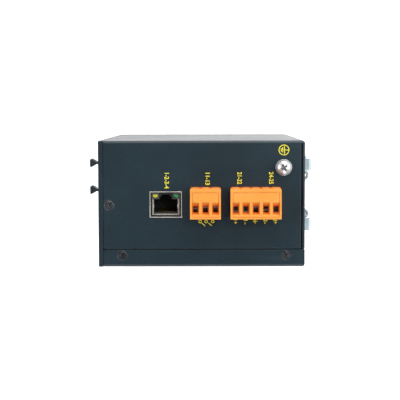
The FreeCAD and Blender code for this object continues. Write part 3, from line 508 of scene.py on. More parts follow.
@dataclass(frozen=True)
class PowderCoat:
    """Fine textured powder coat: small lumps, slight mottling of tone and a satin gloss.

    Fields: two display colours, the gloss, then lumps to a metre and depth of each layer.
    """

    name: str = "powder_coat"
    dark: tuple = (25, 39, 46)
    light: tuple = (32, 47, 55)
    roughness: float = 0.34
    gloss: float = 0.42
    cloud: float = 26.0
    speck: float = 1300.0
    speck_tone: tuple = (0.7, 1.3)
    speck_share: float = 0.6
    lump: float = 900.0
    lump_depth: float = 2.5e-5
    grain: float = 2300.0
    grain_depth: float = 1.6e-5

    def build(self) -> bpy.types.Material:
        """Make the material."""
        g = Graph(bpy.data.materials.new(self.name))
        grain = g.noise(self.grain, 3.0, rough=0.6)
        tone = g.ramp(g.noise(self.cloud, 4.0),
                      [(0.32, linear(self.dark)), (0.68, linear(self.light))])
        less, more = self.speck_tone
        speck = g.ramp(g.noise(self.speck, 3.0), [(0.35, (less,) * 3), (0.65, (more,) * 3)])
        relief = g.bump(g.noise(self.lump), self.lump_depth, g.bump(grain, self.grain_depth))
        return g.set(Base_Color=g.blend(self.speck_share, tone, speck, "MULTIPLY"), Normal=relief,
                     Roughness=g.span(grain, self.roughness - 0.07, self.roughness + 0.1),
                     Specular_IOR_Level=self.gloss)


@dataclass(frozen=True)
class Plated:
    """Plated or bare metal with fine drawn scratches and clouded gloss.

    Fields: two display colours, the gloss, the share of metal, the scratches' stretch and
    depth, then lumps to a metre of the clouds and the scratches.
    """

    name: str
    colour: tuple
    dull: tuple
    roughness: float = 0.28
    metal: float = 1.0
    drawn: tuple = (1.0, 1.0, 12.0)
    relief: float = 4e-6
    cloud: float = 140.0
    scratch: float = 1500.0

    def build(self) -> bpy.types.Material:
        """Make the material."""
        g = Graph(bpy.data.materials.new(self.name))
        scratch, dull = g.noise(self.scratch, 2.0, self.drawn), linear(self.dull)
        colour = g.blend(g.span(g.noise(self.cloud, 3.0), 0, 1), linear(self.colour), dull)
        colour = g.blend(g.span(scratch, 0, 0.22), colour, dull)
        return g.set(Base_Color=colour, Metallic=self.metal,
                     Roughness=g.span(scratch, self.roughness - 0.06, self.roughness + 0.12),
                     Normal=g.bump(scratch, self.relief))


@dataclass(frozen=True)
class Moulded:
    """Moulded plastic or rubber: even colour, eroded gloss and a very fine sparked skin.

    Fields: two display colours, the gloss, the skin's depth, a darker, fuller colour painted as
    shade in the recesses, which takes over between two heights, from the upper one down, past a
    place along X, then lumps to a metre of the flow lines and the skin.
    """

    name: str
    colour: tuple
    shade: tuple
    roughness: float = 0.45
    skin: float = 6e-6
    painted_shade: tuple = ()
    levels: tuple = (0.0, 1.0)
    start: tuple = (-0.0062, -0.0058)
    flow: float = 90.0
    grain: float = 3200.0

    def build(self) -> bpy.types.Material:
        """Make the material."""
        g = Graph(bpy.data.materials.new(self.name))
        flow = g.noise(self.flow, 3.0, (1, 1, 0.35))
        skin = g.noise(self.grain)
        colour = g.ramp(flow, [(0.3, linear(self.shade)), (0.7, linear(self.colour))])
        # painted shade: below the plug's face, and past the ledge along X, the walls turn to the
        # darker painted_shade colour
        if self.painted_shade:
            place = g.add("SeparateXYZ", Vector=g.place).outputs
            inner = g.sum("MULTIPLY", g.span(place["Z"], 1, 0, *self.levels),
                          g.span(place["X"], 0, 1, *self.start))
            colour = g.blend(inner, colour, linear(self.painted_shade))
        return g.set(Base_Color=colour, Normal=g.bump(skin, self.skin),
                     Roughness=g.span(skin, self.roughness - 0.06, self.roughness + 0.08))


@dataclass(frozen=True)
class Lens:
    """Tinted glossy plastic over a lamp, clouded a little.

    Fields: the tint, the share of it that the darker clouds keep, and lumps to a metre.
    """

    name: str
    colour: tuple
    shade: float = 0.72
    cloud: float = 600.0

    def build(self) -> bpy.types.Material:
        """Make the material."""
        g = Graph(bpy.data.materials.new(self.name))
        tint = linear(self.colour)
        darker = tuple(part * self.shade for part in tint)
        return g.set(Base_Color=g.blend(g.span(g.noise(self.cloud), 0, 1), tint, darker),
                     Roughness=0.16, Coat_Weight=0.4)


@dataclass(frozen=True)
class Laminate:
    """Lacquered circuit board with faint copper tracks under the green."""

    name: str = "board_lacquer"
    colour: tuple = (18, 74, 42)
    track: tuple = (40, 116, 66)
    pattern: float = 260.0
    relief: float = 1.5e-5

    def build(self) -> bpy.types.Material:
        """Make the material."""
        g = Graph(bpy.data.materials.new(self.name))
        swing = g.add("Mapping", Vector=g.place, Rotation=(0, math.radians(90), 0))
        tracks = g.add("TexBrick", Vector=swing.outputs[0], Scale=self.pattern, Mortar_Size=0.06,
                       Color1=(0, 0, 0, 1), Color2=(0.2, 0.2, 0.2, 1),
                       Mortar=(1, 1, 1, 1)).outputs["Color"]
        colour = g.blend(tracks, linear(self.colour), linear(self.track))
        return g.set(Base_Color=colour, Roughness=0.32, Normal=g.bump(tracks, self.relief))


@dataclass(frozen=True)
class Ink:
    """Screen printed ink: flat, slightly broken by the coat's grain."""

    name: str = "print_yellow"
    colour: tuple = (232, 220, 52)
    worn: tuple = (168, 160, 44)
    grain: float = 2300.0
    relief: float = 1e-5

    def build(self) -> bpy.types.Material:
        """Make the material."""
        g = Graph(bpy.data.materials.new(self.name))
        grain = g.noise(self.grain, 3.0, rough=0.6)
        colour = g.ramp(grain, [(0.34, linear(self.worn)), (0.46, linear(self.colour))])
        return g.set(Base_Color=colour, Roughness=0.5, Normal=g.bump(grain, self.relief))


class Finish(Enum):
    """Every finish on the switch, by the part of it that wears it."""

    CASE = PowderCoat()
    SCREW = Plated("black_zinc", (150, 154, 158), (104, 108, 112), 0.28)
    NICKEL = Plated("bright_nickel", (214, 215, 215), (168, 169, 170), 0.24, 0.6)
    ZINC = Plated("blue_zinc", (200, 214, 220), (152, 170, 176), 0.42, 0.45)
    WIRE = Plated("spring_wire", (206, 212, 216), (160, 166, 170), 0.28, 0.55)
    SHIELD = Plated("tinned_shield", (226, 222, 212), (186, 182, 172), 0.3, 0.75)
    TIN = Plated("tinned_contact", (214, 218, 220), (158, 162, 165), 0.3, 0.7)
    CLAMP = Plated("clamp_zinc", (182, 194, 200), (120, 130, 136), 0.34, 0.7)
    GOLD = Plated("gold_contact", (226, 186, 96), (184, 144, 70), 0.22)
    ALUMINIUM = Plated("drawn_aluminium", (196, 198, 202), (162, 164, 168), 0.32)
    # the orange plastic carries painted shade, (220, 113, 28), down the walls of the terminal
    # funnels
    ORANGE = Moulded("orange_polyamide", (228, 150, 64), (224, 143, 57), 0.44, 8e-6,
                     (220, 113, 28), (0.1588, 0.1607))
    # darker orange of painted shade, worn by the wall seen through the latch notches
    RECESS = Moulded("orange_notch_shade", (206, 96, 34), (190, 84, 28), 0.5)
    JACK = Moulded("jack_black", (22, 25, 28), (14, 17, 19), 0.42)
    # lighter grey for the housing's lamp lips: painted highlight on their edges, not the black
    # plastic's own colour
    LIP = Moulded("jack_lip_highlight", (96, 98, 98), (78, 80, 80), 0.4)
    BLACK = Moulded("moulded_black", (34, 34, 36), (26, 26, 28), 0.4)
    RUBBER = Moulded("soft_rubber", (42, 55, 61), (34, 46, 52), 0.55, 2e-5)
    FERRITE = Moulded("grey_ferrite", (70, 70, 72), (52, 52, 54), 0.55)
    YELLOW_LAMP = Lens("yellow_lens", (186, 184, 34))
    GREEN_LAMP = Lens("green_lens", (52, 156, 86))
    CLEAR = Lens("clear_lens", (214, 222, 216))
    BOARD = Laminate()
    PRINT = Ink()

    def material(self) -> bpy.types.Material:
        """The built material, made once."""
        return bpy.data.materials.get(self.value.name) or self.value.build()


def dress(piece: bpy.types.Object, finish: Finish) -> bpy.types.Object:
    """Give a piece its finish, and report it.

    Args:
        piece: a new piece or a CAD node's object.
        finish: what it wears.
    Returns:
        The same piece.
    """
    piece.data.materials.clear()
    piece.data.materials.append(finish.material())
    LOG.info("%s wears %s", piece.name, finish.value.name)
    return piece


def soften_nodes(finish: Finish, slot: str, width: float, *nodes: str,
                 segments: int = 2) -> None:
    """Give rounded stand-ins for CAD nodes their finish."""
    for node in nodes:
        dress(softened(node, width, segments), finish)


def dress_nodes(finish: Finish, *nodes: str) -> None:
    """Give CAD nodes that stay as they are their finish."""
    for node in nodes:
        dress(frame["nodes"][node], finish)


# --- print

def spread(mesh: bpy.types.Mesh) -> float:
    """Length of a flat mark along its line of writing."""
    places = np.empty(len(mesh.vertices) * 3)
    mesh.vertices.foreach_get("co", places)
    return float(np.ptp(places[::3]))


@dataclass
class Legend:
    """One printed mark on a face.

    Fields: name, cap height, centre, the face's turn, the words, the length that they are set
    to, how far the ink stands off the face, a cap's share of the letter size, how much bolder
    a letter is by its cap height, and points in a ring.
    """

    name: str
    height: float
    centre: tuple
    turn: Matrix = field(default_factory=lambda: Matrix.Identity(4))
    words: str = ""
    long: float = 0.0
    lift: float = 2.2e-5
    cap_share: float = 0.7
    bold: float = 0.028
    ring_steps: int = 48

    def finish(self, piece: bpy.types.Object) -> bpy.types.Object:
        """Move a flat mark onto its face, then ink it.

        Args:
            piece: the mark, flat round the origin.
        Returns:
            The same piece.
        """
        piece.data.transform(Matrix.Translation(self.centre) @ self.turn
                             @ Matrix.Translation((0, 0, self.lift)))
        dress(piece, Finish.PRINT)
        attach(piece, "case")
        return piece

    def number(self) -> bpy.types.Object:
        """Set the words in a plain face, centred, and turn them into a mesh.

        Returns:
            The piece.
        """
        curve = bpy.data.curves.new(self.name, "FONT")
        curve.body = self.words
        curve.size = self.height / self.cap_share
        curve.align_x = "CENTER"
        curve.align_y = "CENTER"
        curve.offset = self.height * self.bold
        curve.resolution_u = 4
        shown = linked(self.name + "_set", curve)
        bpy.context.view_layer.update()
        mesh = bpy.data.meshes.new_from_object(shown)
        bpy.data.objects.remove(shown)
        if self.long:
            mesh.transform(Matrix.Scale(self.long / spread(mesh), 4, (1, 0, 0)))
        return self.finish(linked(self.name, mesh))

    def strokes(self, lines: list, width: float, rings: tuple = ()) -> bpy.types.Object:
        """Draw straight strokes and rings in the face's own plane.

        Formula: a stroke is a rectangle, half the width to each side of its line; a ring is
        the band between two circles.

        Args:
            lines: ((x0, y0), (x1, y1)) pairs.
            width: stroke width.
            rings: (x, y, radius) of each ring's middle line.
        Returns:
            The piece.
        """
        parts = []
        for start, end in lines:
            a, b = np.array(start), np.array(end)
            step = (b - a) / np.linalg.norm(b - a)
            side = np.array([-step[1], step[0]]) * width / 2
            flat = np.array([a - side, b - side, b + side, a + side])
            parts.append((np.column_stack([flat, np.zeros(4)]), [[0, 1, 2, 3]]))
        for x, y, radius in rings:
            turn = np.linspace(0, 2 * np.pi, self.ring_steps, endpoint=False)
            band = np.array([[radius + width / 2], [radius - width / 2]])
            points = np.stack([x + band * np.cos(turn), y + band * np.sin(turn),
                               np.zeros((2, self.ring_steps))], -1)
            faces = grid_faces(2, self.ring_steps, True)
            parts.append((points.reshape(-1, 3), faces.tolist()))
        return self.finish(link_mesh(self.name, *merged(parts), smooth=False))


@dataclass
class TerminalPrint:
    """Marks of the terminal face: pole numbers, polarity, earth signs and contact sketch.

    Tables are in millimetres on the face: a mark has its name, words, place, length and cap
    height. An earth sign's bars are (height, half length) by its size, and its stem runs from
    stem_top down to the first bar.
    """

    top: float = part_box("chassis")[1].z
    marks: tuple = (("jack", "1-2-3-4", -12.2, -17.9, 8.0, 2.2),
                    ("fault", "11-13", -13.05, 3.0, 6.2, 2.2),
                    ("power_1", "21-22", -13.25, 19.4, 6.2, 2.2),
                    ("power_2", "24-25", -13.25, 35.6, 6.2, 2.2),
                    ("pole_1", "1+", 9.0, 17.4, 2.4, 1.9), ("pole_2", "1-", 9.0, 22.5, 2.4, 1.9),
                    ("pole_4", "2-", 9.0, 32.7, 2.4, 1.9), ("pole_5", "2+", 9.0, 37.8, 2.4, 1.9))
    stem_top: float = 0.42
    ringed_bars: tuple = ((0.05, 0.36), (-0.11, 0.26), (-0.25, 0.15))
    plain_bars: tuple = ((0.0, 0.5), (-0.2, 0.3), (-0.4, 0.12))
    ring: float = 0.46
    stroke: float = 0.075
    plain_stroke: float = 1.6
    eyes: tuple = ((0.35, -2.85), (0.35, 0.25), (0.35, 3.6))
    eye: float = 0.7 * MM
    tail: float = 1.1 * MM
    blades: tuple = (((1.15, -2.0), (2.75, -0.16)), ((1.15, 1.39), (2.6, 3.09)))
    sketch_line: float = 0.36 * MM

    def at(self, x: float, y: float) -> tuple:
        """Point of the terminal face, given in millimetres."""
        return (x * MM, y * MM, self.top)

    def earth(self, name: str, x: float, y: float, size: float, ringed: bool) -> None:
        """Earth sign: a stem on three bars, each shorter than the one before.

        Args:
            name: the mark's name.
            x, y: place on the face in millimetres.
            size: the sign's size in metres.
            ringed: whether a ring goes round it.
        """
        bars = self.ringed_bars if ringed else self.plain_bars
        lines = [((-half * size, level * size), (half * size, level * size))
                 for level, half in bars]
        lines.append(((0, self.stem_top * size), (0, bars[0][0] * size)))
        rings = ((0, 0, self.ring * size),) if ringed else ()
        width = self.stroke * size * (1.0 if ringed else self.plain_stroke)
        Legend(name, size, self.at(x, y)).strokes(lines, width, rings)

    def contact(self) -> None:
        """Contact sketch: three eyes with tails, and two blades."""
        lines = [tuple((x * MM, y * MM) for x, y in blade) for blade in self.blades]
        lines += [((x * MM - self.eye, y * MM), (-self.tail, y * MM)) for x, y in self.eyes]
        rings = tuple((x * MM, y * MM, self.eye) for x, y in self.eyes)
        Legend("print_contact", 3 * MM, self.at(8.65, 2.1)).strokes(lines, self.sketch_line, rings)

    def build(self) -> None:
        """Print every mark."""
        for name, words, x, y, long, cap in self.marks:
            Legend(f"print_{name}", cap * MM, self.at(x, y), words=words, long=long * MM).number()
        self.earth("print_pole_3", 8.9, 27.6, 2.6 * MM, False)
        self.earth("print_earth", -27.6, 42.2, 5.5 * MM, True)
        self.contact()


@dataclass
class FrontPrint:
    """Port numbers on the front plate."""

    cap: float = 2.6 * MM
    room: float = 3.4 * MM
    jack: float = 16.6 * MM
    ports: int = 4
    bays: int = 2

    def mark(self, name: str, words: str, x: float, z: float) -> None:
        """Print one number on the plate's face."""
        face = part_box("front_panel")[0].y
        Legend(name, self.cap, (x, face, z), Matrix.Rotation(math.radians(90), 4, "X"),
               words).number()

    def build(self) -> None:
        """Number the four jacks and the two module bays."""
        low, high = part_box("port_bank_shield")
        pitch = (high.z - low.z - self.jack) / (self.ports - 1)
        for k in range(self.ports):
            self.mark(f"print_port_{k + 1}", str(k + 1), low.x - self.room,
                      low.z + self.jack / 2 + k * pitch)
        low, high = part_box("module_cage")
        for k in range(self.bays):
            self.mark(f"print_bay_{k + 1}", str(self.ports + k + 1),
                      low.x + (high.x - low.x) * (0.5 + k) / self.bays, high.z + self.room)


# --- sub-assemblies

@dataclass
class Casework:
    """Folded case shell, tray and front plate, with softly rounded sheet edges."""

    edge: float = 0.3 * MM

    def build(self) -> None:
        """Make and coat the three case parts."""
        for node in ("chassis", "base_tray", "front_panel"):
            dress(softened(node, self.edge, clamp=node != "chassis"), Finish.CASE)


@dataclass
class FlatScrews:
    """Countersunk cross recess screws of the case.

    Fields: head radius, shank radius, length, the cross, the rim's chamfer, how far the side
    screws are from top and bottom, how far the top screw is sunk, and the crosses' turns.
    """

    radius: float = 2.3 * MM
    shank: float = 1.45 * MM
    length: float = 5.0 * MM
    recess: tuple = (1.5 * MM, 0.62 * MM, 0.75 * MM)
    chamfer: float = 0.22 * MM
    drop: float = 28.0 * MM
    sunk: float = 0.1 * MM
    cover_turns: tuple = (0.3, 1.3, 1.1, 2.1)
    plate_turns: tuple = (0.75, 0.2, 0.5, 1.3)

    def head(self, turn: float) -> tuple[np.ndarray, list]:
        """One screw, its head's face at height 0.

        Args:
            turn: how far its cross is turned.
        Returns:
            Vertices and faces.
        """
        face = self.radius - self.chamfer
        neck = self.shank - self.radius - self.chamfer
        body = np.array([[POLE, -self.length], [self.shank, -self.length], [self.shank, neck],
                         [self.radius, -self.chamfer], [face, -0.1 * self.chamfer]])
        return cross_head(face, 0.0, 0.0, self.recess, body, turn)

    def build(self) -> None:
        """Make each group in the places of its CAD node."""
        up = Matrix.Identity(4)
        down = Matrix.Rotation(math.pi, 4, "X")
        left = Matrix.Rotation(math.radians(-90), 4, "Y")
        low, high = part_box("cover_screws")
        x = (low.x + high.x) / 2
        near, far = low.y + self.radius, high.y - self.radius
        self.place("cover_screws", self.cover_turns,
                   ((x, near, high.z), up), ((x, far, high.z), up),
                   ((x, near, low.z), down), ((x, far, low.z), down))
        low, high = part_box("front_panel_screws")
        x, y = high.x - self.radius, (low.y + high.y) / 2
        self.place("front_panel_screws", self.plate_turns,
                   ((x, y, high.z), up), ((x, y, low.z), down),
                   ((low.x, y, high.z + self.sunk - self.drop), left),
                   ((low.x, y, self.drop), left))

    def place(self, node: str, turns: tuple, *spots: tuple) -> None:
        """Stand one piece in for a group of screws.

        Args:
            node: the CAD node's name.
            turns: how far each cross is turned.
            spots: each screw's place and the turn that points its head outwards.
        """
        parts = []
        for turn, (place, way) in zip(turns, spots):
            verts, faces = self.head(turn)
            parts.append((placed(verts, Matrix.Translation(place) @ way), faces))
        piece = dress(link_mesh(f"{node}_cut", *merged(parts), smooth=False), Finish.SCREW)
        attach(piece, "case")
        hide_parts(node)


@dataclass
class GroundPoint:
    """Bright pan head screw with its split and flat washers.

    Fields: head radius, height of the head's edge, rise of its dome, the whole head's height,
    the rounding under its edge, the shank's radius, the cross and its turn, and the washers'
    rounding.
    """

    radius: float = 3.2 * MM
    rim: float = 1.15 * MM
    dome: float = 1.2 * MM
    tall: float = 2.4 * MM
    under: float = 0.35 * MM
    shank: float = 1.95 * MM
    recess: tuple = (1.9 * MM, 0.88 * MM, 1.6 * MM)
    turn: float = 0.55
    washer_edge: float = 0.12 * MM

    def build(self) -> None:
        """Make the screw and dress the washers and the nut."""
        low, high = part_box("ground_screw")
        seat = high.z - self.tall
        turn = np.linspace(0, np.pi / 2, 6)
        rounding = np.column_stack([self.radius - self.under + self.under * np.sin(turn),
                                    self.under - self.under * np.cos(turn)])
        body = np.vstack([[[POLE, low.z - seat], [self.shank, low.z - seat], [self.shank, 0.0]],
                          rounding])
        verts, faces = cross_head(self.radius, self.dome, self.rim, self.recess, body, self.turn)
        middle = Matrix.Translation(((low.x + high.x) / 2, (low.y + high.y) / 2, seat))
        piece = link_mesh("ground_screw_cut", placed(verts, middle), faces)
        piece.data.set_sharp_from_angle(angle=EDGE_ANGLE)
        dress(piece, Finish.NICKEL)
        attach(piece, "case")
        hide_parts("ground_screw")
        soften_nodes(Finish.NICKEL, "nickel", self.washer_edge, "ground_spring_washer",
                     "ground_flat_washer")
        dress_nodes(Finish.ZINC, "ground_nut")


@dataclass
class Jacks:
    """Console jack on top and the row of four ports in front.

    Fields: thickness of the flanges, widths of the side flanges and the foot, rim round a lamp,
    gap from the shield's outside to a flange, room that the lamps take, then each tab's width,
    thickness, place along X, rise over the housing, depth and bow, and last the roundings.
    """

    skin: float = 0.14 * MM
    flange: float = 0.6 * MM
    foot: float = 0.6 * MM
    rim: float = 0.3 * MM
    gap: float = 1.4 * MM
    lamp_room: float = 3.9 * MM
    tab: float = 2.1 * MM
    tab_thick: float = 0.12 * MM
    tab_x: float = 0.275 * MM + 0.9 * MM
    tab_rise: float = 0.1 * MM
    tab_deep: float = 2.6 * MM
    tab_bow: float = 0.35 * MM
    flange_edge: float = 0.05 * MM
    shield_edge: float = 0.12 * MM
    housing_edge: float = 0.1 * MM
    lamp_edge: float = 0.75 * MM

    def plates(self, name: str, level: float, finish: Finish,
               spans: list[tuple]) -> bpy.types.Object:
        """Thin plates on the housing's face, as one piece.

        Args:
            name: the piece's name.
            level: height of the housing's face.
            finish: what the plates wear.
            spans: (x0, y0, x1, y1) of each plate.
        Returns:
            The piece.
        """
        parts = [box_mesh((x0, y0, level), (x1, y1, level + self.skin))
                 for x0, y0, x1, y1 in spans]
        return dress(link_mesh(name, *merged(parts), smooth=False), finish)

    def flanges(self) -> None:
        """Fold the console shield's front edges over the housing, with two sprung tabs.

        Formula: each tab's path bows towards the opening by the sine of its length.
        """
        low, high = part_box("console_jack_shield")
        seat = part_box("console_jack_housing")[1].z
        start, end = low.x + self.lamp_room, high.x - self.gap
        near, far = low.y + self.gap, high.y - self.gap
        inner = near + self.flange, far - self.flange
        piece = self.plates("console_flanges", seat, Finish.SHIELD,
                            [(start, near, end, inner[0]), (start, inner[1], end, far),
                             (end - self.foot, inner[0] + self.rim, end, inner[1] - self.rim)])
        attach(bevel(piece, self.flange_edge), "case")
        share = np.linspace(0, 1, 9)[:, None]
        parts = []
        for side, y in zip((1, -1), inner):
            path = np.array([[self.tab_x, y, seat + self.tab_rise]]) \
                + share * np.array([[0, 0, -self.tab_deep]]) \
                + np.sin(share * np.pi) * np.array([[0, side * self.tab_bow, 0]])
            parts.append(ribbon(path, np.array([self.tab, 0, 0]), self.tab_thick * side))
        piece = dress(link_mesh("console_tabs", *merged(parts)), Finish.NICKEL)
        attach(piece, "case")

    def rims(self) -> None:
        """Raise a thin lip of the housing round each lamp, in a lighter grey that paints the
        highlight on its edges.
        """
        spans = []
        for lamp in ("console_led_yellow", "console_led_green"):
            low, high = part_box(lamp)
            near, far = low.y - self.rim, high.y + self.rim
            spans += [(low.x - self.rim, near, low.x, far), (high.x, near, high.x + self.rim, far),
                      (low.x, near, high.x, low.y), (low.x, high.y, high.x, far)]
        piece = self.plates("console_lamp_rims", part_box("console_jack_housing")[1].z, Finish.LIP,
                            spans)
        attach(piece, "case")

    def build(self) -> None:
        """Dress the shields, housings, contacts and lamps."""
        soften_nodes(Finish.SHIELD, "shield_plate", self.shield_edge, "console_jack_shield",
                     "port_bank_shield")
        soften_nodes(Finish.JACK, "jack_plastic", self.housing_edge, "console_jack_housing",
                     "port_bank_housing")
        dress_nodes(Finish.GOLD, "console_jack_contacts", "port_bank_contacts")
        for colour, finish in (("yellow", Finish.YELLOW_LAMP), ("green", Finish.GREEN_LAMP)):
            soften_nodes(finish, f"lamp_{colour}", self.lamp_edge, f"console_led_{colour}",
                         segments=5)
        self.flanges()
        self.rims()


@dataclass
class ModuleBays:
    """Cage of the optical modules, the two rubber dust plugs and the light pipes."""

    cage_edge: float = 0.1 * MM
    plug_edge: float = 0.28 * MM
    pipe_edge: float = 0.3 * MM

    def build(self) -> None:
        """Dress the cage, and round the rubber and the pipes."""
        soften_nodes(Finish.SHIELD, "shield_plate", self.cage_edge, "module_cage")
        soften_nodes(Finish.RUBBER, "plug_rubber", self.plug_edge, "dust_plug_1", "dust_plug_2",
                     segments=3)
        soften_nodes(Finish.CLEAR, "pipe_clear", self.pipe_edge, "light_pipes", segments=3)


@dataclass
class Terminals:
    """The two pluggable screw terminal blocks.

    Fields: poles of each block, the roundings, then the web of painted shade behind the latch
    notches: its two faces from the block's side, how far it ends short, and its levels over the
    block's foot.
    """

    counts: tuple = (("fault", 3), ("power", 5))
    plug_edge: float = 0.1 * MM
    header_edge: float = 0.12 * MM
    cage_edge: float = 0.14 * MM
    screw_edge: float = 0.1 * MM
    web_faces: tuple = (0.03 * MM, 0.7 * MM)
    web_short: float = 0.3 * MM
    web_levels: tuple = (8.0 * MM, 13.4 * MM)

    def web(self, name: str) -> None:
        """Close a block's latch notches from behind with a darker orange wall that paints the
        shade deep in the notches.
        """
        low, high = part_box(f"{name}_plug")
        (outer, inner), (foot, head) = self.web_faces, self.web_levels
        shape = box_mesh((low.x + outer, low.y + self.web_short, low.z + foot),
                         (low.x + inner, high.y - self.web_short, low.z + head))
        piece = link_mesh(f"{name}_plug_shade_web", *shape, smooth=False)
        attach(dress(piece, Finish.RECESS), f"{name}_block")

    def build(self) -> None:
        """Dress both blocks with their clamps."""
        for name, count in self.counts:
            dress(softened(f"{name}_plug", self.plug_edge, clamp=False), Finish.ORANGE)
            soften_nodes(Finish.ORANGE, "terminal_orange", self.header_edge, f"{name}_header")
            self.web(name)
            dress_nodes(Finish.TIN, f"{name}_header_pins", f"{name}_plug_contacts")
            for k in range(1, count + 1):
                soften_nodes(Finish.TIN, "clamp_steel", self.cage_edge, f"{name}_cage_{k}")
                soften_nodes(Finish.CLAMP, "clamp_steel", self.screw_edge, f"{name}_screw_{k}")


@dataclass
class RailClip:
    """Zinc plated rail clip with its wire spring and screws.

    Fields: the clip's rounding, then the screws: head radius, height of the head's edge, rise
    of its dome, the whole head's height, shank radius, the cross and the turns of the crosses.
    """

    edge: float = 0.2 * MM
    head: float = 2.9 * MM
    rim: float = 1.9 * MM
    dome: float = 1.1 * MM
    tall: float = 3.0 * MM
    shank: float = 1.45 * MM
    recess: tuple = (1.9 * MM, 0.9 * MM, 1.3 * MM)
    turns: tuple = (0.4, 1.0)

    def build(self) -> None:
        """Dress the clip and cut the crosses of its screws."""
        soften_nodes(Finish.ZINC, "zinc", self.edge, "rail_clip")
        dress_nodes(Finish.WIRE, "rail_spring")
        low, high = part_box("rail_clip_screws")
        z = (low.z + high.z) / 2
        seat = high.y - self.tall
        body = np.array([[POLE, low.y - seat], [self.shank, low.y - seat], [self.shank, 0.0],
                         [self.head, 0.0]])
        back = Matrix.Rotation(math.radians(-90), 4, "X")
        parts = []
        for x, turn in zip((low.x + self.head, high.x - self.head), self.turns):
            verts, faces = cross_head(self.head, self.dome, self.rim, self.recess, body, turn)
            parts.append((placed(verts, Matrix.Translation((x, seat, z)) @ back), faces))
        piece = link_mesh("rail_clip_screws_cut", *merged(parts))
        piece.data.set_sharp_from_angle(angle=EDGE_ANGLE)
        dress(piece, Finish.NICKEL)
        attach(piece, "case")
        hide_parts("rail_clip_screws")


@dataclass
class Boards:
    """Circuit boards and what stands on them, inside the closed case."""

    def build(self) -> None:
        """Dress the inner pieces."""
        dress_nodes(Finish.BOARD, "main_board", "power_board", "module_board")
        dress_nodes(Finish.NICKEL, "board_spacers", "board_posts")
        dress_nodes(Finish.ZINC, "board_screws")
        dress_nodes(Finish.BLACK, "switch_chip", "board_link", "module_board_link")
        dress_nodes(Finish.ALUMINIUM, "heat_sink", "capacitors")
        dress_nodes(Finish.FERRITE, "transformer")


# --- studio

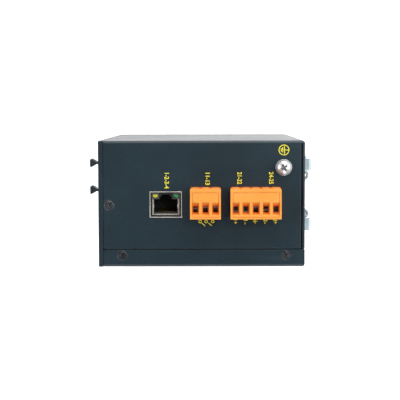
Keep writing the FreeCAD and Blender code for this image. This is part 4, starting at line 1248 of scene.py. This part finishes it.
@dataclass
class Studio:
    """Pale floor, white surround, soft lamps and the camera above the terminal face.

    Fields: the camera's lens, place, direction, roll in degrees and nearest sight; the
    surround's levels by height of the ray, and its lean; the floor's half width, drop under
    the part, tone and level to the eye; each lamp's name, place, size and power, and the point
    that all are turned to.
    """

    lens: float = 104.4
    eye: tuple = (-48.47 * MM, 7.0 * MM, 743.0 * MM)
    look: tuple = (0.0783, -0.0131, -1.0)
    roll: float = -0.166
    near: float = 0.01
    tent: tuple = ((0.0, 1.0), (0.3, 0.85), (0.6, 0.5), (0.85, 0.18), (0.96, 0.06))
    lean: tuple = (-0.65, 0.3, 0.0)
    floor_reach: float = 3.0
    floor_drop: float = 0.4 * MM
    floor_tone: float = 0.86
    floor_level: float = 0.6
    lamps: tuple = (("rear_box", (-0.15, 0.95, 0.85), 0.8, 9.0),
                    ("front_box", (-0.1, -1.0, 0.75), 0.8, 6.0),
                    ("side_box", (-0.95, 0.1, 0.65), 0.7, 6.0),
                    ("tray_box", (0.95, 0.1, 0.75), 0.7, 5.0),
                    ("top_box", (-0.46, 0.36, 1.2), 0.2, 1.7))
    middle: tuple = (0, 0, 0.12)

    def floor(self) -> None:
        """Lay a white floor that keeps the switch's shadow."""
        reach, level = self.floor_reach, CAD_BOX[0][2] - self.floor_drop
        verts = np.array([[-reach, -reach, level], [reach, -reach, level],
                          [reach, reach, level], [-reach, reach, level]])
        ground = link_mesh("studio_floor", verts, [[0, 1, 2, 3]], smooth=False)
        g = Graph(bpy.data.materials.new("floor_paint"))
        ray = g.add("LightPath").outputs
        mirrored = g.sum("MAXIMUM", ray["Is Glossy Ray"], ray["Is Transmission Ray"])
        seen = g.sum("MAXIMUM", ray["Is Camera Ray"], mirrored)
        g.set(Base_Color=(self.floor_tone,) * 3, Roughness=0.9, Specular_IOR_Level=0.1,
              Emission_Color=(1.0, 1.0, 1.0),
              Emission_Strength=g.sum("MULTIPLY", seen, self.floor_level))
        ground.data.materials.append(g.owner)

    def world(self) -> None:
        """Light like a tent, and show white to the eye.

        Formula: the walls are bright and the ceiling dark, and both grow brighter along the
        lean by one plus the direction's part along it.
        """
        world = bpy.data.worlds.new("surround")
        bpy.context.scene.world = world
        g = Graph(world, "Background", "Generated")
        height = g.add("SeparateXYZ", Vector=g.place).outputs["Z"]
        tent = g.ramp(height, [(place, (level,) * 3) for place, level in self.tent])
        along = g.add("VectorMath", operation="DOT_PRODUCT")
        g.give(along.inputs[0], g.place)
        g.give(along.inputs[1], self.lean)
        more = g.sum("ADD", along.outputs["Value"], 1.0)
        leaning = g.add("VectorMath", operation="SCALE", Scale=more)
        g.give(leaning.inputs[0], tent)
        ray = g.add("LightPath").outputs
        seen = g.sum("MAXIMUM", ray["Is Camera Ray"], ray["Is Transmission Ray"])
        g.set(Color=g.blend(seen, leaning.outputs["Vector"], (1.0, 1.0, 1.0)))

    def lamp(self, name: str, place: tuple, size: float, power: float) -> None:
        """Hang one square soft box, turned to the switch's middle."""
        data = bpy.data.lights.new(name, "AREA")
        data.size = size
        data.energy = power
        box = linked(name, data)
        box.location = place
        way = Vector(self.middle) - Vector(place)
        box.rotation_euler = way.to_track_quat("-Z", "Y").to_euler()

    def camera(self) -> None:
        """Set the camera at the terminal face, with the case's left side upwards."""
        data = bpy.data.cameras.new("view")
        data.lens = self.lens
        data.clip_start = self.near
        eye = linked("view", data)
        forward = Vector(self.look).normalized()
        right = forward.cross(Vector((-1, 0, 0))).normalized()
        basis = Matrix((right, right.cross(forward), -forward)).transposed().to_4x4()
        spin = Matrix.Rotation(math.radians(self.roll), 4, "Z")
        eye.matrix_world = Matrix.Translation(self.eye) @ basis @ spin
        bpy.context.scene.camera = eye

    def build(self) -> None:
        """Set up the whole studio."""
        self.floor()
        self.world()
        self.camera()
        for lamp in self.lamps:
            self.lamp(*lamp)
        bpy.context.scene.view_settings.view_transform = "Standard"


def main() -> None:
    """Build every sub-assembly in order."""
    for part in (Casework(), FlatScrews(), GroundPoint(), Jacks(), ModuleBays(), Terminals(),
                 RailClip(), Boards(), TerminalPrint(), FrontPrint(), Studio()):
        part.build()
        LOG.info("%s is in place", type(part).__name__)


if __name__ == "__main__":
    main()
